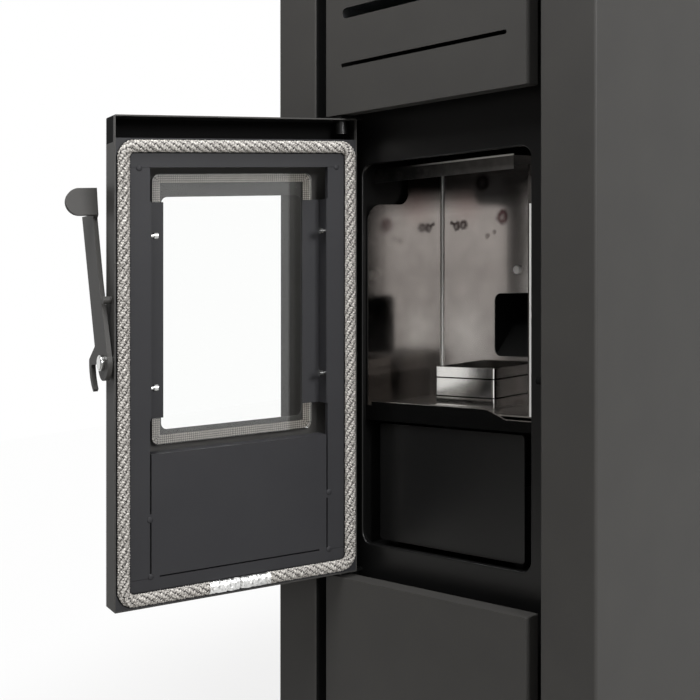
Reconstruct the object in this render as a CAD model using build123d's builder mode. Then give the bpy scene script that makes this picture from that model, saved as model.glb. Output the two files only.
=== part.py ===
from build123d import *
from math import cos, radians, sin
import os

os.makedirs("parts", exist_ok=True)

# Pellet stove with its fire door standing open. The origin is the middle of the footprint at
# floor level, +Z is up and the front looks along -Y. Sizes are in millimetres.

# Casing
WIDTH = 450
DEPTH = 480
HEIGHT = 1000
SHEET = 1.5
BEND = 3
PLINTH_HEIGHT = 20
PLINTH_INSET = 25
PLINTH_FLANGE = 30
PAN_SHEET = 2
TOP_SHEET = 2
TOP_RIM = 15
PILLAR_WIDTH = 65
PANEL_GAP = 17
PANEL_DEPTH = 20
REAR_RETURN = 20
CONTACT_GAP = 0.3
CASING_SCREW_RADIUS = 4
CASING_SCREW_INSET = 10

# Front: heights of the panels, and how far each layer lies behind the front plane
DOOR_OPENING_BOTTOM = 214
DOOR_OPENING_TOP = 745
DOOR_GAP = 4.5
FACE_PLATE_DEPTH = 37.5
FACE_SHEET = 2
FACE_SIDE_LAP = 15
MOUTH_WIDTH = 242
MOUTH_BOTTOM = 247
MOUTH_TOP = 688
MOUTH_RADIUS = 13
MOUTH_FLANGE = 6
THIN_SLOT_HEIGHT = 801
THIN_SLOT_WIDTH = 4.6
THIN_SLOT_LENGTH = 238
AIR_SLOT_BOTTOM = 854
AIR_SLOT_WIDTH = 12
AIR_SLOT_LENGTH = 234

# Firebox
FIREBOX_INSIDE = 250
FIREBOX_WALL = 3
FIREBOX_BOTTOM = 240
FIREBOX_TOP = 715
FIREBOX_BACK = 190
LINER_SHEET = 1.5
LINER_HALF = 118
LINER_FRONT = 44
LINER_BACK = 177
LINER_RETURN = 5
LINER_TOP = 690
NOTCH_HEIGHT = 642
NOTCH_DEPTH = 70
NOTCH_STEP_RADIUS = 15
NOTCH_CORNER_RADIUS = 20
HEARTH_TOP = 407
HEARTH_LIP = 5
HEARTH_SHEET = 1.5
HEARTH_APRON = 22
HEARTH_CUT_X = 58
HEARTH_CUT_DEPTH = 9.5
HEARTH_CUT_RUN = 26
CHUTE_HALF = 35.6
CHUTE_BOTTOM = 455
CHUTE_TOP = 530.3
CHUTE_RADIUS = 9
STRIP_HALF = 16
LINER_SCREW_HEIGHT = 558
LINER_SCREW_RADIUS = 5
BAFFLE_RIGHT = 86
BAFFLE_FRONT = 55
BAFFLE_LIP_BOTTOM = 667
BAFFLE_LIP_TOP = 683
LEDGE = 10

# Burn pot, its seat and the ash drawer
POT_WIDTH = 87
POT_FRONT = 76
POT_LENGTH = 90
POT_BOTTOM = 402
POT_TOP = 451.5
POT_WALL = 2.5
POT_CORNER = 4
POT_HOLE_RADIUS = 2.2
POT_HOLE_PITCH = 14
POT_CLEARANCE = 1.5
POT_BEAD_DROPS = (12, 33)
POT_BEAD_WIDTH = 0.8
POT_BEAD_DEPTH = 0.6
POT_ARCH_RADIUS = 9
POT_ARCH_WIDTH = 1.2
POT_ARCH_DROP = 2.5
POT_FLANGE = 3
SEAT_HEIGHT = 18
SEAT_MARGIN = 5
DRAWER_HALF = 104
DRAWER_FRONT = 50
DRAWER_BOTTOM = 251
DRAWER_TOP = 386
DRAWER_LENGTH = 125
DRAWER_WALL_TOP = 330
DRAWER_SHEET = 1.5
DRAWER_INSET = 4
RAIL_WIDTH = 10
RAIL_SPREAD = 85

# Pellet hopper and feed
HOPPER_WIDTH = 300
HOPPER_FRONT = 250
HOPPER_BACK = 440
HOPPER_DROP = 6
HOPPER_SHOULDER = 760
HOPPER_NECK_TOP = 600
HOPPER_NECK_WIDTH = 50
HOPPER_NECK_BEHIND = 350
HOPPER_RIM = 5
HOPPER_SHEET = 1.5
HOPPER_SEAM = 0.1
AUGER_LOW_BEHIND = 370
AUGER_LOW_HEIGHT = 440
AUGER_LENGTH = 200
AUGER_TILT = 45
AUGER_BORE = 60
AUGER_TUBE_WALL = 2
AUGER_FLIGHT_RADIUS = 28
AUGER_PITCH = 40
AUGER_FLIGHT_THICKNESS = 2.5
AUGER_SHAFT_RADIUS = 7
AUGER_JOURNAL_RADIUS = 6
BEARING_CLEARANCE = 0.05
END_CAP_THICKNESS = 6
GEARBOX_SIZE = 62
GEARBOX_LENGTH = 50
MOTOR_RADIUS = 26
MOTOR_LENGTH = 34
CHUTE_SHEET = 1.5
IGNITER_RADIUS = 5
IGNITER_RISE = 18
IGNITER_REACH = 60

# Exhaust, combustion air and room air
DUCT_SHEET = 1.5
SMOKE_LEFT = 42
SMOKE_RIGHT = 118
SMOKE_BACK = 238
SMOKE_PORT_BOTTOM = 668
SMOKE_PORT_TOP = 708
SMOKE_BOTTOM = 62
FAN_X = 80
FAN_HEIGHT = 110
FAN_FRONT = 275
FAN_DEPTH = 50
FAN_RADIUS = 70
FAN_SHEET = 2
FAN_INLET_RADIUS = 34
FAN_OUTLET_X = -35
FAN_OUTLET_HEIGHT = 155
FAN_OUTLET_HALF = 44
FLUE_RADIUS = 40
FLUE_SHEET = 1.5
FLUE_REACH = 60
SOCKET_STEP = 0.5
INTAKE_RADIUS = 25
INTAKE_SHEET = 1.5
INTAKE_HEIGHT = 300
INTAKE_REACH = 50
IMPELLER_RADIUS = 58
IMPELLER_DEPTH = 30
IMPELLER_BLADES = 8
IMPELLER_DISC = 2
FAN_SHAFT_RADIUS = 4
FAN_MOTOR_RADIUS = 38
FAN_MOTOR_LENGTH = 80
WARM_DUCT_LEFT = -118
WARM_DUCT_RIGHT = -42
WARM_DUCT_FRONT = 192
WARM_DUCT_BACK = 235
WARM_DUCT_BOTTOM = 120
WARM_OUTLET_BOTTOM = 848
WARM_OUTLET_TOP = 872
BLOWER_BEHIND = 222
BLOWER_HEIGHT = 76
BLOWER_RADIUS = 28
BLOWER_LENGTH = 150
BLOWER_LEFT = -190
BLOWER_BLADES = 16
BLOWER_SHELL_RADIUS = 36
BLOWER_SHAFT_RADIUS = 3
BLOWER_MOTOR_LENGTH = 30

# Hopper lid and controls in the top
LID_OPENING_HALF = 160
LID_OPENING_FRONT = 240
LID_OPENING_BACK = 469
LID_GAP = 1.5
LID_REAR_GAP = 4.5
LID_RIM = 12
LID_PIN_RADIUS = 3
LID_PIN_BEHIND = 459
LID_PIN_DROP = 7
PIN_CLEARANCE = 0.05
CONTROL_HALF = 90
CONTROL_FRONT = 28
CONTROL_BACK = 72
CONTROL_LIP = 5
BUTTON_RADIUS = 6
BUTTON_SPACING = 24
BUTTON_TRAVEL = 1.2
DISPLAY_WIDTH = 70
DISPLAY_HEIGHT = 24
BOARD_SHEET = 1.6

# Mains inlet
INLET_X = 160
INLET_HEIGHT = 70
ROCKER_LENGTH = 19
ROCKER_WIDTH = 13
ROCKER_PIN_RADIUS = 1.5

# Fire door: measured from its hinge edge and its outer face
DOOR_THICKNESS = 30
DOOR_SHEET = 1.5
DOOR_ANGLE = 107.5
HINGE_FROM_EDGE = 11.5
HINGE_FROM_FRONT = 13
HINGE_PIN_RADIUS = 4
HINGE_BUSH_RADIUS = 8
HINGE_BUSH_LENGTH = 15
HINGE_PLATE = 3
WINDOW_LEFT = 58.2
WINDOW_WIDTH = 167.8
WINDOW_BOTTOM = 402
WINDOW_TOP = 655
WINDOW_RADIUS = 7
FRAME_TOP = 716
FRAME_THICKNESS = 6
FRAME_LEFT = 37.4
FRAME_RIGHT = 247.2
FRAME_OPEN_BOTTOM = 249.2
FRAME_OPEN_TOP = 684.9
GLASS_LEFT = 48
GLASS_WIDTH = 190
GLASS_BOTTOM = 386.8
GLASS_TOP = 679.7
GLASS_THICKNESS = 4
GLASS_RADIUS = 8
SEAL_TAPE_WIDTH = 10
SEAL_TAPE_THICKNESS = 3.5
CLIP_BOTTOM = 416
CLIP_TOP = 649
CLIP_OVERLAP = 12
CLIP_SHEET = 1.5
CLIP_SCREW_HEIGHTS = (450.5, 612.4)
CLIP_SCREW_RADIUS = 3.8
CLIP_SCREW_BEHIND = 26.5
CLIP_SHANK_RADIUS = 2
CLIP_SHANK_BITE = 3.4
CLIP_HEAD_STAND = 5.1
CLIP_HEAD_HEIGHT = 4.3
LOWER_PLATE_TOP = 380.3
LOWER_PLATE_SHEET = 1.5
LOWER_PLATE_SLIT = 1.6
LOWER_TAB_WIDTH = 9
LOWER_TAB_HEIGHT = 312.5
SEAM_WIDTH = 0.6
SEAM_DEPTH = 0.6
ROPE_WIDTH = 14
ROPE_PROUD = 6.6
ROPE_INSET = 2.5
ROPE_BEND = 12
ROPE_TOP = 714.4
ROPE_BOTTOM = 221.8
GROOVE_DEPTH = 3
GROOVE_WIDTH = 15
SPLICE_START = 110.4
SPLICE_LENGTH = 71.2

# Lever handle on the free edge of the door
LEVER_OFFSET = 3
LEVER_PLATE = 5
LEVER_PIVOT_BEHIND = 15
LEVER_PIVOT_HEIGHT = 480.5
LEVER_BOSS_RADIUS = 19
LEVER_BAR_TOP = 158
LEVER_TAB_HEIGHT = 30
LEVER_TAB_LENGTH = 34.7
LEVER_TAB_LEAN = 12
LEVER_STUD_RADIUS = 4
LEVER_HEAD_RADIUS = 8.5
LEVER_HEAD_HEIGHT = 4.5
CLAW_INNER_RADIUS = 45
CLAW_WIDTH = 8.5
CLAW_END_ANGLE = -42
CLAW_ROOT_ANGLE = -6
STOP_BEHIND = 18
STOP_RISE = 65.9
CATCH_DROP = 32
STOP_RADIUS = 4
STOP_LENGTH = 9
CATCH_RADIUS = 4
CATCH_LENGTH = 14.5

# What the casing sizes give
FRONT = -DEPTH / 2
BACK = DEPTH / 2
PANEL_WIDTH = WIDTH - 2 * (PILLAR_WIDTH + PANEL_GAP)
PILLAR_INNER = WIDTH / 2 - PILLAR_WIDTH
CASE_BOTTOM = PLINTH_HEIGHT + PAN_SHEET
CASE_TOP = HEIGHT - TOP_RIM
HOPPER_TOP = HEIGHT - HOPPER_DROP
LID_PIN_HEIGHT = HEIGHT - LID_PIN_DROP
IGNITER_HEIGHT = HEARTH_TOP + IGNITER_RISE
REAR_FACE = DEPTH - SHEET
CHUTE_FRONT = LINER_BACK + LINER_SHEET + CONTACT_GAP
CATCH_BEHIND = HINGE_FROM_FRONT + 4
CATCH_HEIGHT = LEVER_PIVOT_HEIGHT - CATCH_DROP
STOP_HEIGHT = LEVER_PIVOT_HEIGHT + STOP_RISE


def at_depth(behind):
    """The Y of a plane that lies this far behind the front of the stove."""
    return FRONT + behind


def facing(behind):
    """A vertical plane seen from the front, this far behind it: its Y is the height."""
    return Plane(origin=(0, at_depth(behind), 0), x_dir=(1, 0, 0), z_dir=(0, -1, 0))


def lying(height):
    """A horizontal plane at this height, with the same X and Y as the stove."""
    return Plane.XY.offset(height)


def box_between(x, behind, z, mode=Mode.ADD):
    """A block between two values along X, two depths behind the front and two heights."""
    middle = ((x[0] + x[1]) / 2, at_depth((behind[0] + behind[1]) / 2), (z[0] + z[1]) / 2)
    with Locations(middle):
        Box(x[1] - x[0], behind[1] - behind[0], z[1] - z[0], mode=mode)


# Plinth: a recessed ring of sheet with an inward flange on the floor
with BuildPart() as base_plinth:
    plinth_x = WIDTH - 2 * PLINTH_INSET
    plinth_y = DEPTH - 2 * PLINTH_INSET
    with BuildSketch():
        Rectangle(plinth_x, plinth_y)
        Rectangle(plinth_x - 2 * SHEET, plinth_y - 2 * SHEET, mode=Mode.SUBTRACT)
    extrude(amount=PLINTH_HEIGHT)
    with BuildSketch():
        Rectangle(plinth_x, plinth_y)
        Rectangle(plinth_x - 2 * PLINTH_FLANGE, plinth_y - 2 * PLINTH_FLANGE, mode=Mode.SUBTRACT)
    extrude(amount=SHEET)
base_plinth.part.label = "base_plinth"
export_step(base_plinth.part, "parts/base_plinth.step")

# Levelling feet stand inside the plinth ring, each a pad with a stud that runs in the base pan
FOOT_PAD_RADIUS = 14
FOOT_PAD_HEIGHT = 6
FOOT_STUD_RADIUS = 4
FOOT_STUD_TOP = 36
FOOT_BOSS_RADIUS = 9
FOOT_BOSS_HEIGHT = 8
FOOT_SPREAD_X = 2 * (plinth_x / 2 - PLINTH_FLANGE - FOOT_PAD_RADIUS - 3)
FOOT_SPREAD_Y = 2 * (plinth_y / 2 - PLINTH_FLANGE - FOOT_PAD_RADIUS - 3)
with BuildPart() as levelling_feet:
    with BuildSketch():
        with GridLocations(FOOT_SPREAD_X, FOOT_SPREAD_Y, 2, 2):
            Circle(FOOT_PAD_RADIUS)
    extrude(amount=FOOT_PAD_HEIGHT)
    with BuildSketch(lying(FOOT_PAD_HEIGHT)):
        with GridLocations(FOOT_SPREAD_X, FOOT_SPREAD_Y, 2, 2):
            Circle(FOOT_STUD_RADIUS)
    extrude(amount=FOOT_STUD_TOP - FOOT_PAD_HEIGHT)
levelling_feet.part.label = "levelling_feet"
export_step(levelling_feet.part, "parts/levelling_feet.step")

# Base pan: the floor of the casing, with bosses for the feet and vents under the blower
PAN_VENT_WIDTH = 8
PAN_VENT_LENGTH = 60
PAN_VENT_PITCH = 18
with BuildPart() as base_pan:
    with BuildSketch(lying(PLINTH_HEIGHT)):
        RectangleRounded(WIDTH, DEPTH, BEND)
        with GridLocations(FOOT_SPREAD_X, FOOT_SPREAD_Y, 2, 2):
            Circle(FOOT_STUD_RADIUS + CONTACT_GAP, mode=Mode.SUBTRACT)
        with Locations((BLOWER_LEFT + BLOWER_LENGTH / 2, at_depth(BLOWER_BEHIND))):
            with GridLocations(PAN_VENT_PITCH, 0, 7, 1):
                SlotOverall(PAN_VENT_LENGTH, PAN_VENT_WIDTH, rotation=90, mode=Mode.SUBTRACT)
    extrude(amount=PAN_SHEET)
    with BuildSketch(lying(CASE_BOTTOM)):
        with GridLocations(FOOT_SPREAD_X, FOOT_SPREAD_Y, 2, 2):
            Circle(FOOT_BOSS_RADIUS)
            Circle(FOOT_STUD_RADIUS + CONTACT_GAP, mode=Mode.SUBTRACT)
    extrude(amount=FOOT_BOSS_HEIGHT)
base_pan.part.label = "base_pan"
export_step(base_pan.part, "parts/base_pan.step")

# Side panels: one folded sheet each, with the front pillar, its return into the gap and a rear return
with BuildPart() as right_side_panel:
    with BuildSketch(lying(CASE_BOTTOM)):
        with BuildLine():
            FilletPolyline(
                (PILLAR_INNER, at_depth(FACE_PLATE_DEPTH)),
                (PILLAR_INNER, FRONT),
                (WIDTH / 2, FRONT),
                (WIDTH / 2, at_depth(REAR_FACE)),
                (WIDTH / 2 - REAR_RETURN, at_depth(REAR_FACE)),
                radius=BEND,
            )
            offset(amount=SHEET, side=Side.LEFT)
        make_face()
    extrude(amount=CASE_TOP - CASE_BOTTOM)
    with BuildSketch(Plane.YZ.offset(PILLAR_INNER)):
        with Locations((at_depth(CATCH_BEHIND), CATCH_HEIGHT)):
            Circle(CATCH_RADIUS)
    extrude(amount=-CATCH_LENGTH)
right_side_panel.part.label = "right_side_panel"
export_step(right_side_panel.part, "parts/right_side_panel.step")

with BuildPart() as left_side_panel:
    with BuildSketch(lying(CASE_BOTTOM)):
        with BuildLine():
            FilletPolyline(
                (-PILLAR_INNER, at_depth(FACE_PLATE_DEPTH)),
                (-PILLAR_INNER, FRONT),
                (-WIDTH / 2, FRONT),
                (-WIDTH / 2, at_depth(REAR_FACE)),
                (REAR_RETURN - WIDTH / 2, at_depth(REAR_FACE)),
                radius=BEND,
            )
            offset(amount=SHEET, side=Side.RIGHT)
        make_face()
    extrude(amount=CASE_TOP - CASE_BOTTOM)
left_side_panel.part.label = "left_side_panel"
export_step(left_side_panel.part, "parts/left_side_panel.step")

# Rear panel: closes the back, with holes for flue, combustion air, mains inlet and louvres
LOUVRE_LENGTH = 120
LOUVRE_WIDTH = 6
LOUVRE_PITCH = 16
LOUVRE_ROWS = 8
LOUVRE_HEIGHT = 520
PORT_GAP = 1
INLET_WIDTH = 48
INLET_SIZE_Z = 28
REAR_SCREW_ROWS = 4
CASE_MIDDLE = (CASE_BOTTOM + CASE_TOP) / 2
SCREW_SPREAD = WIDTH - 2 * CASING_SCREW_INSET
SCREW_PITCH = (CASE_TOP - CASE_BOTTOM - 4 * CASING_SCREW_INSET) / (REAR_SCREW_ROWS - 1)
with BuildPart() as rear_panel:
    with BuildSketch(facing(REAR_FACE)):
        with Locations((0, CASE_MIDDLE)):
            Rectangle(WIDTH - SHEET, CASE_TOP - CASE_BOTTOM)
            with GridLocations(SCREW_SPREAD, SCREW_PITCH, 2, REAR_SCREW_ROWS):
                Circle(CASING_SCREW_RADIUS, mode=Mode.SUBTRACT)
        with Locations((FAN_OUTLET_X, FAN_OUTLET_HEIGHT)):
            Circle(FLUE_RADIUS + PORT_GAP, mode=Mode.SUBTRACT)
        with Locations((0, INTAKE_HEIGHT)):
            Circle(INTAKE_RADIUS + PORT_GAP, mode=Mode.SUBTRACT)
        with Locations((INLET_X, INLET_HEIGHT)):
            Rectangle(INLET_WIDTH, INLET_SIZE_Z, mode=Mode.SUBTRACT)
        with Locations((0, LOUVRE_HEIGHT)):
            with GridLocations(WIDTH / 2 - REAR_RETURN, LOUVRE_PITCH, 2, LOUVRE_ROWS):
                SlotOverall(LOUVRE_LENGTH, LOUVRE_WIDTH, mode=Mode.SUBTRACT)
    extrude(amount=-SHEET)
rear_panel.part.label = "rear_panel"
export_step(rear_panel.part, "parts/rear_panel.step")

# Casing screws: flush heads along both sides of the rear panel
with BuildPart() as rear_screws:
    with BuildSketch(facing(REAR_FACE)):
        with Locations((0, CASE_MIDDLE)):
            with GridLocations(SCREW_SPREAD, SCREW_PITCH, 2, REAR_SCREW_ROWS):
                Circle(CASING_SCREW_RADIUS)
    extrude(amount=-SHEET)
rear_screws.part.label = "rear_screws"
export_step(rear_screws.part, "parts/rear_screws.step")

# Top plate: a tray turned upside down, cut out for the lid and controls, with tabs for the lid's pins
LID_TAB_HALF = LID_OPENING_HALF + CONTACT_GAP
LID_TAB_SHEET = 2
LID_PIN_LENGTH = 9
lid_pin_point = (at_depth(LID_PIN_BEHIND), LID_PIN_HEIGHT)
with BuildPart() as top_plate:
    with BuildSketch(lying(CASE_TOP)):
        RectangleRounded(WIDTH, DEPTH, BEND)
    extrude(amount=TOP_RIM)
    with BuildSketch(lying(CASE_TOP)):
        RectangleRounded(WIDTH - 2 * TOP_SHEET, DEPTH - 2 * TOP_SHEET, BEND - TOP_SHEET)
    extrude(amount=TOP_RIM - TOP_SHEET, mode=Mode.SUBTRACT)
    box_between(
        (-LID_OPENING_HALF, LID_OPENING_HALF),
        (LID_OPENING_FRONT, LID_OPENING_BACK),
        (CASE_TOP, HEIGHT),
        mode=Mode.SUBTRACT,
    )
    box_between(
        (-CONTROL_HALF, CONTROL_HALF),
        (CONTROL_FRONT, CONTROL_BACK),
        (CASE_TOP, HEIGHT),
        mode=Mode.SUBTRACT,
    )
    for side in (-1, 1):
        tab = sorted((side * LID_TAB_HALF, side * (LID_TAB_HALF + LID_TAB_SHEET)))
        box_between(tab, (LID_PIN_BEHIND - LEDGE, LID_PIN_BEHIND + LEDGE), (CASE_TOP, HEIGHT - TOP_SHEET))
    with BuildSketch(Plane.YZ.offset(-LID_TAB_HALF - LID_TAB_SHEET)):
        with Locations(lid_pin_point):
            Circle(LID_PIN_RADIUS)
    extrude(amount=2 * (LID_TAB_HALF + LID_TAB_SHEET), mode=Mode.SUBTRACT)
top_plate.part.label = "top_plate"
export_step(top_plate.part, "parts/top_plate.step")


def front_tray(bottom, top):
    """A front panel between two heights: a sheet tray that is open to the rear."""
    with BuildPart() as tray:
        with BuildSketch(facing(0)):
            with Locations((0, (bottom + top) / 2)):
                RectangleRounded(PANEL_WIDTH, top - bottom, SHEET)
        extrude(amount=-PANEL_DEPTH)
        with BuildSketch(facing(SHEET)):
            with Locations((0, (bottom + top) / 2)):
                Rectangle(PANEL_WIDTH - 2 * SHEET, top - bottom - 2 * SHEET)
        extrude(amount=SHEET - PANEL_DEPTH, mode=Mode.SUBTRACT)
    return tray.part


# Front panels above and below the fire door
upper_tray = front_tray(DOOR_OPENING_TOP, CASE_TOP)
with BuildPart() as upper_front_panel:
    add(upper_tray)
    with BuildSketch(facing(0)):
        with Locations((0, THIN_SLOT_HEIGHT)):
            SlotOverall(THIN_SLOT_LENGTH, THIN_SLOT_WIDTH)
        with Locations((0, AIR_SLOT_BOTTOM + AIR_SLOT_WIDTH / 2)):
            SlotOverall(AIR_SLOT_LENGTH, AIR_SLOT_WIDTH)
    extrude(amount=-SHEET, mode=Mode.SUBTRACT)
upper_front_panel.part.label = "upper_front_panel"
export_step(upper_front_panel.part, "parts/upper_front_panel.step")

lower_tray = front_tray(CASE_BOTTOM, DOOR_OPENING_BOTTOM)
with BuildPart() as lower_front_panel:
    add(lower_tray)
lower_front_panel.part.label = "lower_front_panel"
export_step(lower_front_panel.part, "parts/lower_front_panel.step")

# Face plate: the inner front wall behind the panels, with the firebox mouth and the warm-air slot
FACE_WIDTH = 2 * (PILLAR_INNER + FACE_SIDE_LAP)
MOUTH_HEIGHT = MOUTH_TOP - MOUTH_BOTTOM
MOUTH_MIDDLE = (MOUTH_BOTTOM + MOUTH_TOP) / 2
WARM_HALF = LINER_HALF + 2
with BuildPart() as face_plate:
    with BuildSketch(facing(FACE_PLATE_DEPTH)):
        with Locations((0, (CASE_BOTTOM + CASE_TOP) / 2)):
            Rectangle(FACE_WIDTH, CASE_TOP - CASE_BOTTOM)
        with Locations((0, MOUTH_MIDDLE)):
            RectangleRounded(MOUTH_WIDTH, MOUTH_HEIGHT, MOUTH_RADIUS, mode=Mode.SUBTRACT)
        with Locations((0, (WARM_OUTLET_BOTTOM + WARM_OUTLET_TOP) / 2)):
            Rectangle(2 * WARM_HALF, WARM_OUTLET_TOP - WARM_OUTLET_BOTTOM, mode=Mode.SUBTRACT)
    extrude(amount=-FACE_SHEET)
    with BuildSketch(facing(FACE_PLATE_DEPTH)):
        with Locations((0, MOUTH_MIDDLE)):
            RectangleRounded(
                MOUTH_WIDTH + 2 * FACE_SHEET, MOUTH_HEIGHT + 2 * FACE_SHEET, MOUTH_RADIUS + FACE_SHEET
            )
            RectangleRounded(MOUTH_WIDTH, MOUTH_HEIGHT, MOUTH_RADIUS, mode=Mode.SUBTRACT)
    extrude(amount=-MOUTH_FLANGE)
    face_front = at_depth(FACE_PLATE_DEPTH)
    mouth_edges = face_plate.edges().filter_by_position(Axis.Y, face_front, face_front)
    mouth_edges = mouth_edges.filter_by_position(Axis.X, -MOUTH_WIDTH / 2, MOUTH_WIDTH / 2)
    mouth_edges = mouth_edges.filter_by_position(Axis.Z, MOUTH_BOTTOM, MOUTH_TOP)
    fillet(mouth_edges, FACE_SHEET - CONTACT_GAP)
face_plate.part.label = "face_plate"
export_step(face_plate.part, "parts/face_plate.step")

# Firebox: a welded box open to the front, with ledges for the hearth, a seat for the pot and rails
FIREBOX_HALF = FIREBOX_INSIDE / 2
FACE_BACK = FACE_PLATE_DEPTH + FACE_SHEET
LEDGE_TOP = HEARTH_TOP - HEARTH_SHEET
FLOOR_TOP = FIREBOX_BOTTOM + FIREBOX_WALL
with BuildPart() as firebox_shell:
    box_between(
        (-FIREBOX_HALF - FIREBOX_WALL, FIREBOX_HALF + FIREBOX_WALL),
        (FACE_BACK, FIREBOX_BACK),
        (FIREBOX_BOTTOM, FIREBOX_TOP),
    )
    box_between(
        (-FIREBOX_HALF, FIREBOX_HALF),
        (FACE_BACK, FIREBOX_BACK - FIREBOX_WALL),
        (FLOOR_TOP, FIREBOX_TOP - FIREBOX_WALL),
        mode=Mode.SUBTRACT,
    )
    for side in (-1, 1):
        ledge = sorted((side * FIREBOX_HALF, side * (FIREBOX_HALF - LEDGE)))
        box_between(
            ledge, (BAFFLE_FRONT, FIREBOX_BACK - FIREBOX_WALL), (LEDGE_TOP - FIREBOX_WALL, LEDGE_TOP)
        )
        rail = sorted((side * RAIL_SPREAD, side * (RAIL_SPREAD + RAIL_WIDTH)))
        box_between(
            rail,
            (DRAWER_FRONT + LEDGE, FIREBOX_BACK - FIREBOX_WALL),
            (FLOOR_TOP, DRAWER_BOTTOM - CONTACT_GAP),
        )
    seat_half = POT_WIDTH / 2 + SEAT_MARGIN
    seat_side = POT_WIDTH / 2 - SEAT_MARGIN
    box_between(
        (-seat_half, seat_half),
        (POT_FRONT - SEAT_MARGIN, FIREBOX_BACK - FIREBOX_WALL),
        (POT_BOTTOM - SEAT_HEIGHT, POT_BOTTOM),
    )
    box_between(
        (-seat_side, seat_side),
        (POT_FRONT + SEAT_MARGIN, POT_FRONT + POT_LENGTH - SEAT_MARGIN),
        (POT_BOTTOM - SEAT_HEIGHT, POT_BOTTOM),
        mode=Mode.SUBTRACT,
    )
    back_wall = (FIREBOX_BACK - FIREBOX_WALL, FIREBOX_BACK)
    chute_side = CHUTE_HALF + CHUTE_SHEET
    chute_lift = FIREBOX_BACK - CHUTE_FRONT + 2 * CHUTE_SHEET
    box_between(
        (-chute_side, chute_side), back_wall, (CHUTE_BOTTOM, CHUTE_TOP + chute_lift), mode=Mode.SUBTRACT
    )
    box_between(
        (SMOKE_LEFT + DUCT_SHEET, SMOKE_RIGHT - DUCT_SHEET),
        back_wall,
        (SMOKE_PORT_BOTTOM, SMOKE_PORT_TOP),
        mode=Mode.SUBTRACT,
    )
    with BuildSketch(facing(FIREBOX_BACK)):
        with Locations((0, INTAKE_HEIGHT)):
            Circle(INTAKE_RADIUS - INTAKE_SHEET)
        with Locations((0, IGNITER_HEIGHT)):
            Circle(IGNITER_RADIUS + CONTACT_GAP)
    extrude(amount=FIREBOX_WALL, mode=Mode.SUBTRACT)
firebox_shell.part.label = "firebox_shell"
export_step(firebox_shell.part, "parts/firebox_shell.step")

# Hearth plate: the tray round the burn pot, with a front that stands above it and below, cut at a corner
lip_top = HEARTH_TOP + HEARTH_LIP
with BuildPart() as hearth_plate:
    hearth_half = MOUTH_WIDTH / 2 - CONTACT_GAP
    box_between(
        (-hearth_half, hearth_half), (LINER_FRONT, FIREBOX_BACK - FIREBOX_WALL), (LEDGE_TOP, HEARTH_TOP)
    )
    box_between(
        (-hearth_half, hearth_half),
        (LINER_FRONT, LINER_FRONT + HEARTH_SHEET),
        (lip_top - HEARTH_APRON, HEARTH_TOP),
    )
    lip_half = LINER_HALF - LINER_RETURN - CONTACT_GAP
    box_between((-lip_half, lip_half), (LINER_FRONT, LINER_FRONT + HEARTH_SHEET), (HEARTH_TOP, lip_top))
    with BuildSketch(facing(LINER_FRONT)):
        with BuildLine():
            Polyline(
                (HEARTH_CUT_X, lip_top),
                (HEARTH_CUT_X + HEARTH_CUT_RUN, lip_top - HEARTH_CUT_DEPTH),
                (hearth_half, lip_top - HEARTH_CUT_DEPTH),
                (hearth_half, lip_top),
                close=True,
            )
        make_face()
    extrude(amount=-HEARTH_SHEET, mode=Mode.SUBTRACT)
    box_between(
        (-POT_WIDTH / 2 - POT_CLEARANCE, POT_WIDTH / 2 + POT_CLEARANCE),
        (POT_FRONT - POT_CLEARANCE, POT_FRONT + POT_LENGTH + POT_CLEARANCE),
        (LEDGE_TOP, HEARTH_TOP),
        mode=Mode.SUBTRACT,
    )
hearth_plate.part.label = "hearth_plate"
export_step(hearth_plate.part, "parts/hearth_plate.step")

# Liners: polished stainless sheets that stand on the hearth plate
with BuildPart() as right_liner:
    with BuildSketch(lying(HEARTH_TOP)):
        with BuildLine():
            FilletPolyline(
                (LINER_HALF - LINER_RETURN, at_depth(LINER_FRONT)),
                (LINER_HALF + LINER_SHEET, at_depth(LINER_FRONT)),
                (LINER_HALF + LINER_SHEET, at_depth(LINER_BACK)),
                radius=LINER_SHEET,
            )
            offset(amount=LINER_SHEET, side=Side.LEFT)
        make_face()
    extrude(amount=LINER_TOP - HEARTH_TOP)
    box_between(
        (0, LINER_HALF - CONTACT_GAP),
        (0, LINER_BACK),
        (BAFFLE_LIP_BOTTOM - LEDGE, HEIGHT),
        mode=Mode.SUBTRACT,
    )
right_liner.part.label = "right_liner"
export_step(right_liner.part, "parts/right_liner.step")

with BuildPart() as left_liner:
    with BuildSketch(Plane.YZ.offset(-LINER_HALF)):
        with BuildLine():
            Polyline(
                (at_depth(LINER_FRONT), HEARTH_TOP),
                (at_depth(LINER_BACK), HEARTH_TOP),
                (at_depth(LINER_BACK), LINER_TOP),
                (at_depth(LINER_FRONT + NOTCH_DEPTH), LINER_TOP),
                (at_depth(LINER_FRONT + NOTCH_DEPTH), NOTCH_HEIGHT),
                (at_depth(LINER_FRONT), NOTCH_HEIGHT),
                close=True,
            )
        make_face()
        notch = vertices().filter_by_position(Axis.Y, NOTCH_HEIGHT, NOTCH_HEIGHT).sort_by(Axis.X)
        fillet(notch[0], NOTCH_CORNER_RADIUS)
        notch = vertices().filter_by_position(Axis.Y, NOTCH_HEIGHT, NOTCH_HEIGHT).sort_by(Axis.X)
        fillet(notch[-1], NOTCH_STEP_RADIUS)
    extrude(amount=-LINER_SHEET)
left_liner.part.label = "left_liner"
export_step(left_liner.part, "parts/left_liner.step")

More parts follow.
